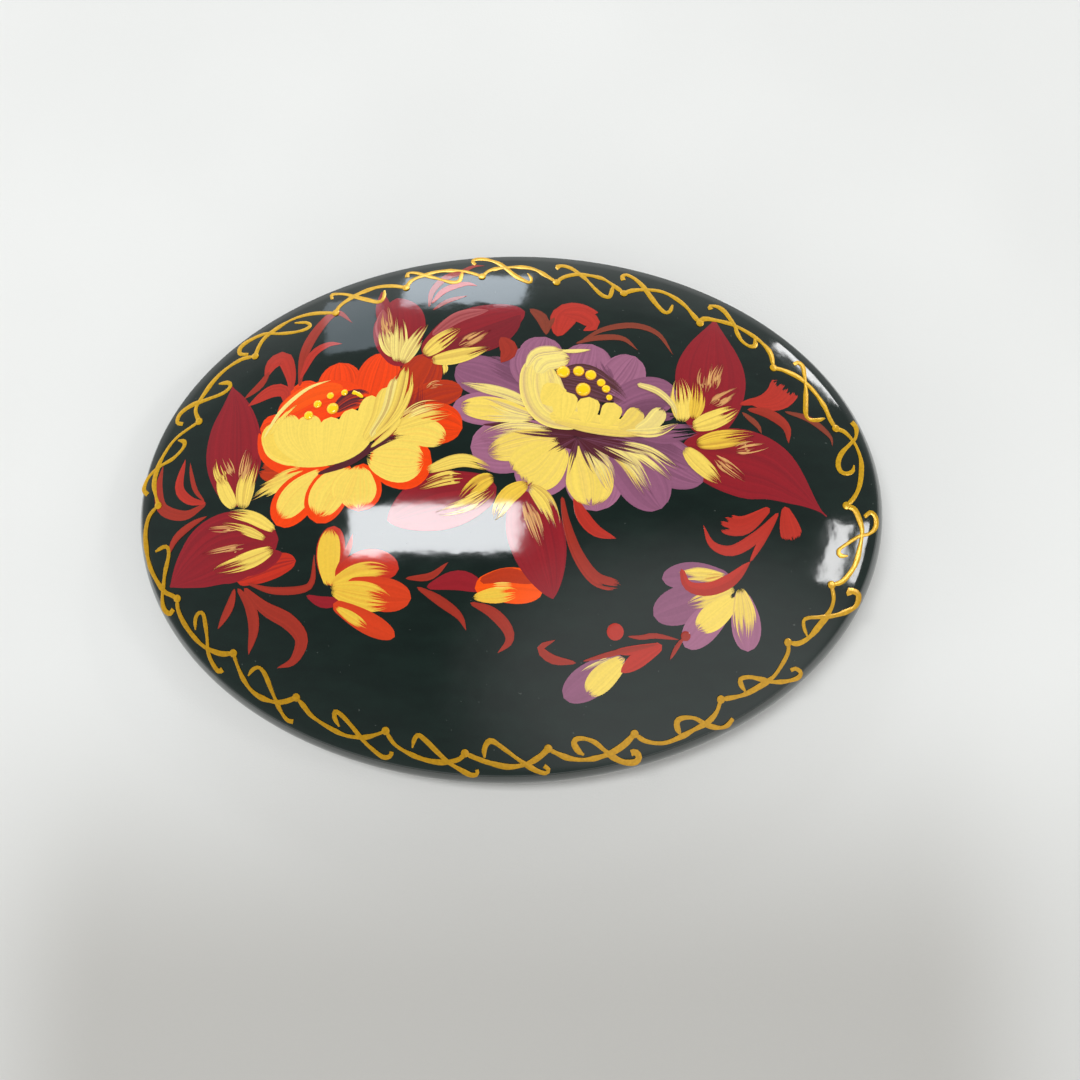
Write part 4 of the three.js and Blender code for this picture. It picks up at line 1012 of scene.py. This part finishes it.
for knot, following, scallop, hook in zip(KNOTS, KNOTS[1:] + KNOTS[:1], SCALLOPS, HOOKS):
    # Painted shade and light: each scallop's gold goes from the darker shaded gold to the lit gold by the
    # height of its knot.
    tint = mix(SHADED_GOLD, GOLD, ease(knot[1], *PAINTED_LIGHT_SPAN))
    width = 0.52 + 0.12 * gold_border.random.random()
    scallop = [*knot, *scallop, *following]
    gold_border.strokes([(tint, None, width, *scallop)], **form(0.8, 0.5, 0.3, crown=0.018))
    gold_border.strokes([(tint, None, width * 0.95, *hook)], **form(0.75, 0.45, 0.35, crown=0.018))
# The knot beads carry the same painted shade and light by their height.
for knot in KNOTS:
    gold_border.dot(mix(SHADED_GOLD, GOLD, ease(knot[1], *PAINTED_LIGHT_SPAN)), *knot, 0.46, 0.03)
gold_finish = paint_finish("bronze powder paint", 0.14, 0.1, 0.3, Metallic=0.25)
gold_border.dried(gold_finish)

# ---------------------------------------------------------------------------------------------
# Clip, plated parts: the stamped base plate glued into the hollow of the plaque, the clasp arm that
# swings on its headed pin, and the rivet of the catch. Steel, tumbled, then plated with nickel.

TUMBLED_EDGE = 0.09
LEAF_EDGE = 0.05


def metal_finish(name, bright, dull, smooth_part, rough_part):
    """Bare or plated steel: drawn lines along the clip, and a film that dulls it in clouds."""
    finish, tone, shader = new_finish(name, {"Metallic": 1.0})
    where = place_on(tone)
    lines = grain(where, 7, 2, 0.6, (0.06, 1, 1))
    film = grain(where, 0.30, 4).between(0.35, 0.72)
    scuffs = grain(where, 2.4, 3, 0.7, (1, 0.25, 1)).between(0.62, 0.75)
    feed(tone, shader, Base_Color=film.tint(bright, dull))
    feed(tone, shader, Roughness=film * rough_part + lines * 0.10 + scuffs * 0.12 + smooth_part)
    feed(tone, shader, Normal=relief(tone, lines + scuffs * 0.4, 0.000004))
    return finish


def dress(node, finish, edge=0):
    """Gives a CAD piece its finish and, where edge is set, the rounded edges that tumbling leaves."""
    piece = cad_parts[node]
    for place in piece.material_slots:
        place.material = finish
    if edge:
        weld = piece.modifiers.new("joined faces", "WELD")
        weld.merge_threshold = 0.001 * MM
        bevel = piece.modifiers.new("rounded edges", "BEVEL")
        bevel.width = edge * MM
        bevel.segments = 2
        bevel.limit_method = "ANGLE"
        bevel.angle_limit = math.radians(35)
        bevel.harden_normals = True


nickel_finish = metal_finish("nickel plate", srgb(206, 202, 194), srgb(176, 171, 160), 0.14, 0.12)
for node in ("base_plate", "clasp_arm", "hinge_pin"):
    dress(node, nickel_finish, TUMBLED_EDGE)
dress("catch_rivet", nickel_finish, LEAF_EDGE)

# ---------------------------------------------------------------------------------------------
# Clip, springs: the tension leaf held by the keepers of the plate, and the catch, whose saddle is
# riveted under the plate and carries the two barbed prongs. Hardened strip steel, left unplated.

spring_finish = metal_finish("spring steel", srgb(172, 172, 172), srgb(126, 124, 122), 0.22, 0.16)
for node in ("tension_leaf", "catch_saddle", "catch_prong_upper", "catch_prong_lower"):
    dress(node, spring_finish, LEAF_EDGE)

# ---------------------------------------------------------------------------------------------
# Glue: two beads of amber epoxy squeezed through the holes of the plate and set against the
# plaque, glossy and a little cloudy.

EPOXY = {"IOR": 1.55, "Coat Weight": 0.5, "Coat Roughness": 0.06}
glue_finish, tone, shader = new_finish("amber epoxy", EPOXY)
where = place_on(tone)
cloudy = grain(where, 0.8, 3).between(0.3, 0.7)
feed(tone, shader, Base_Color=cloudy.tint(srgb(206, 180, 122), srgb(224, 205, 156)))
feed(tone, shader, Roughness=cloudy * 0.14 + 0.2)
feed(tone, shader, Normal=relief(tone, grain(where, 1.6, 2), 0.00004))
dress("glue_bead_hinge_end", glue_finish)
dress("glue_bead_catch_end", glue_finish)
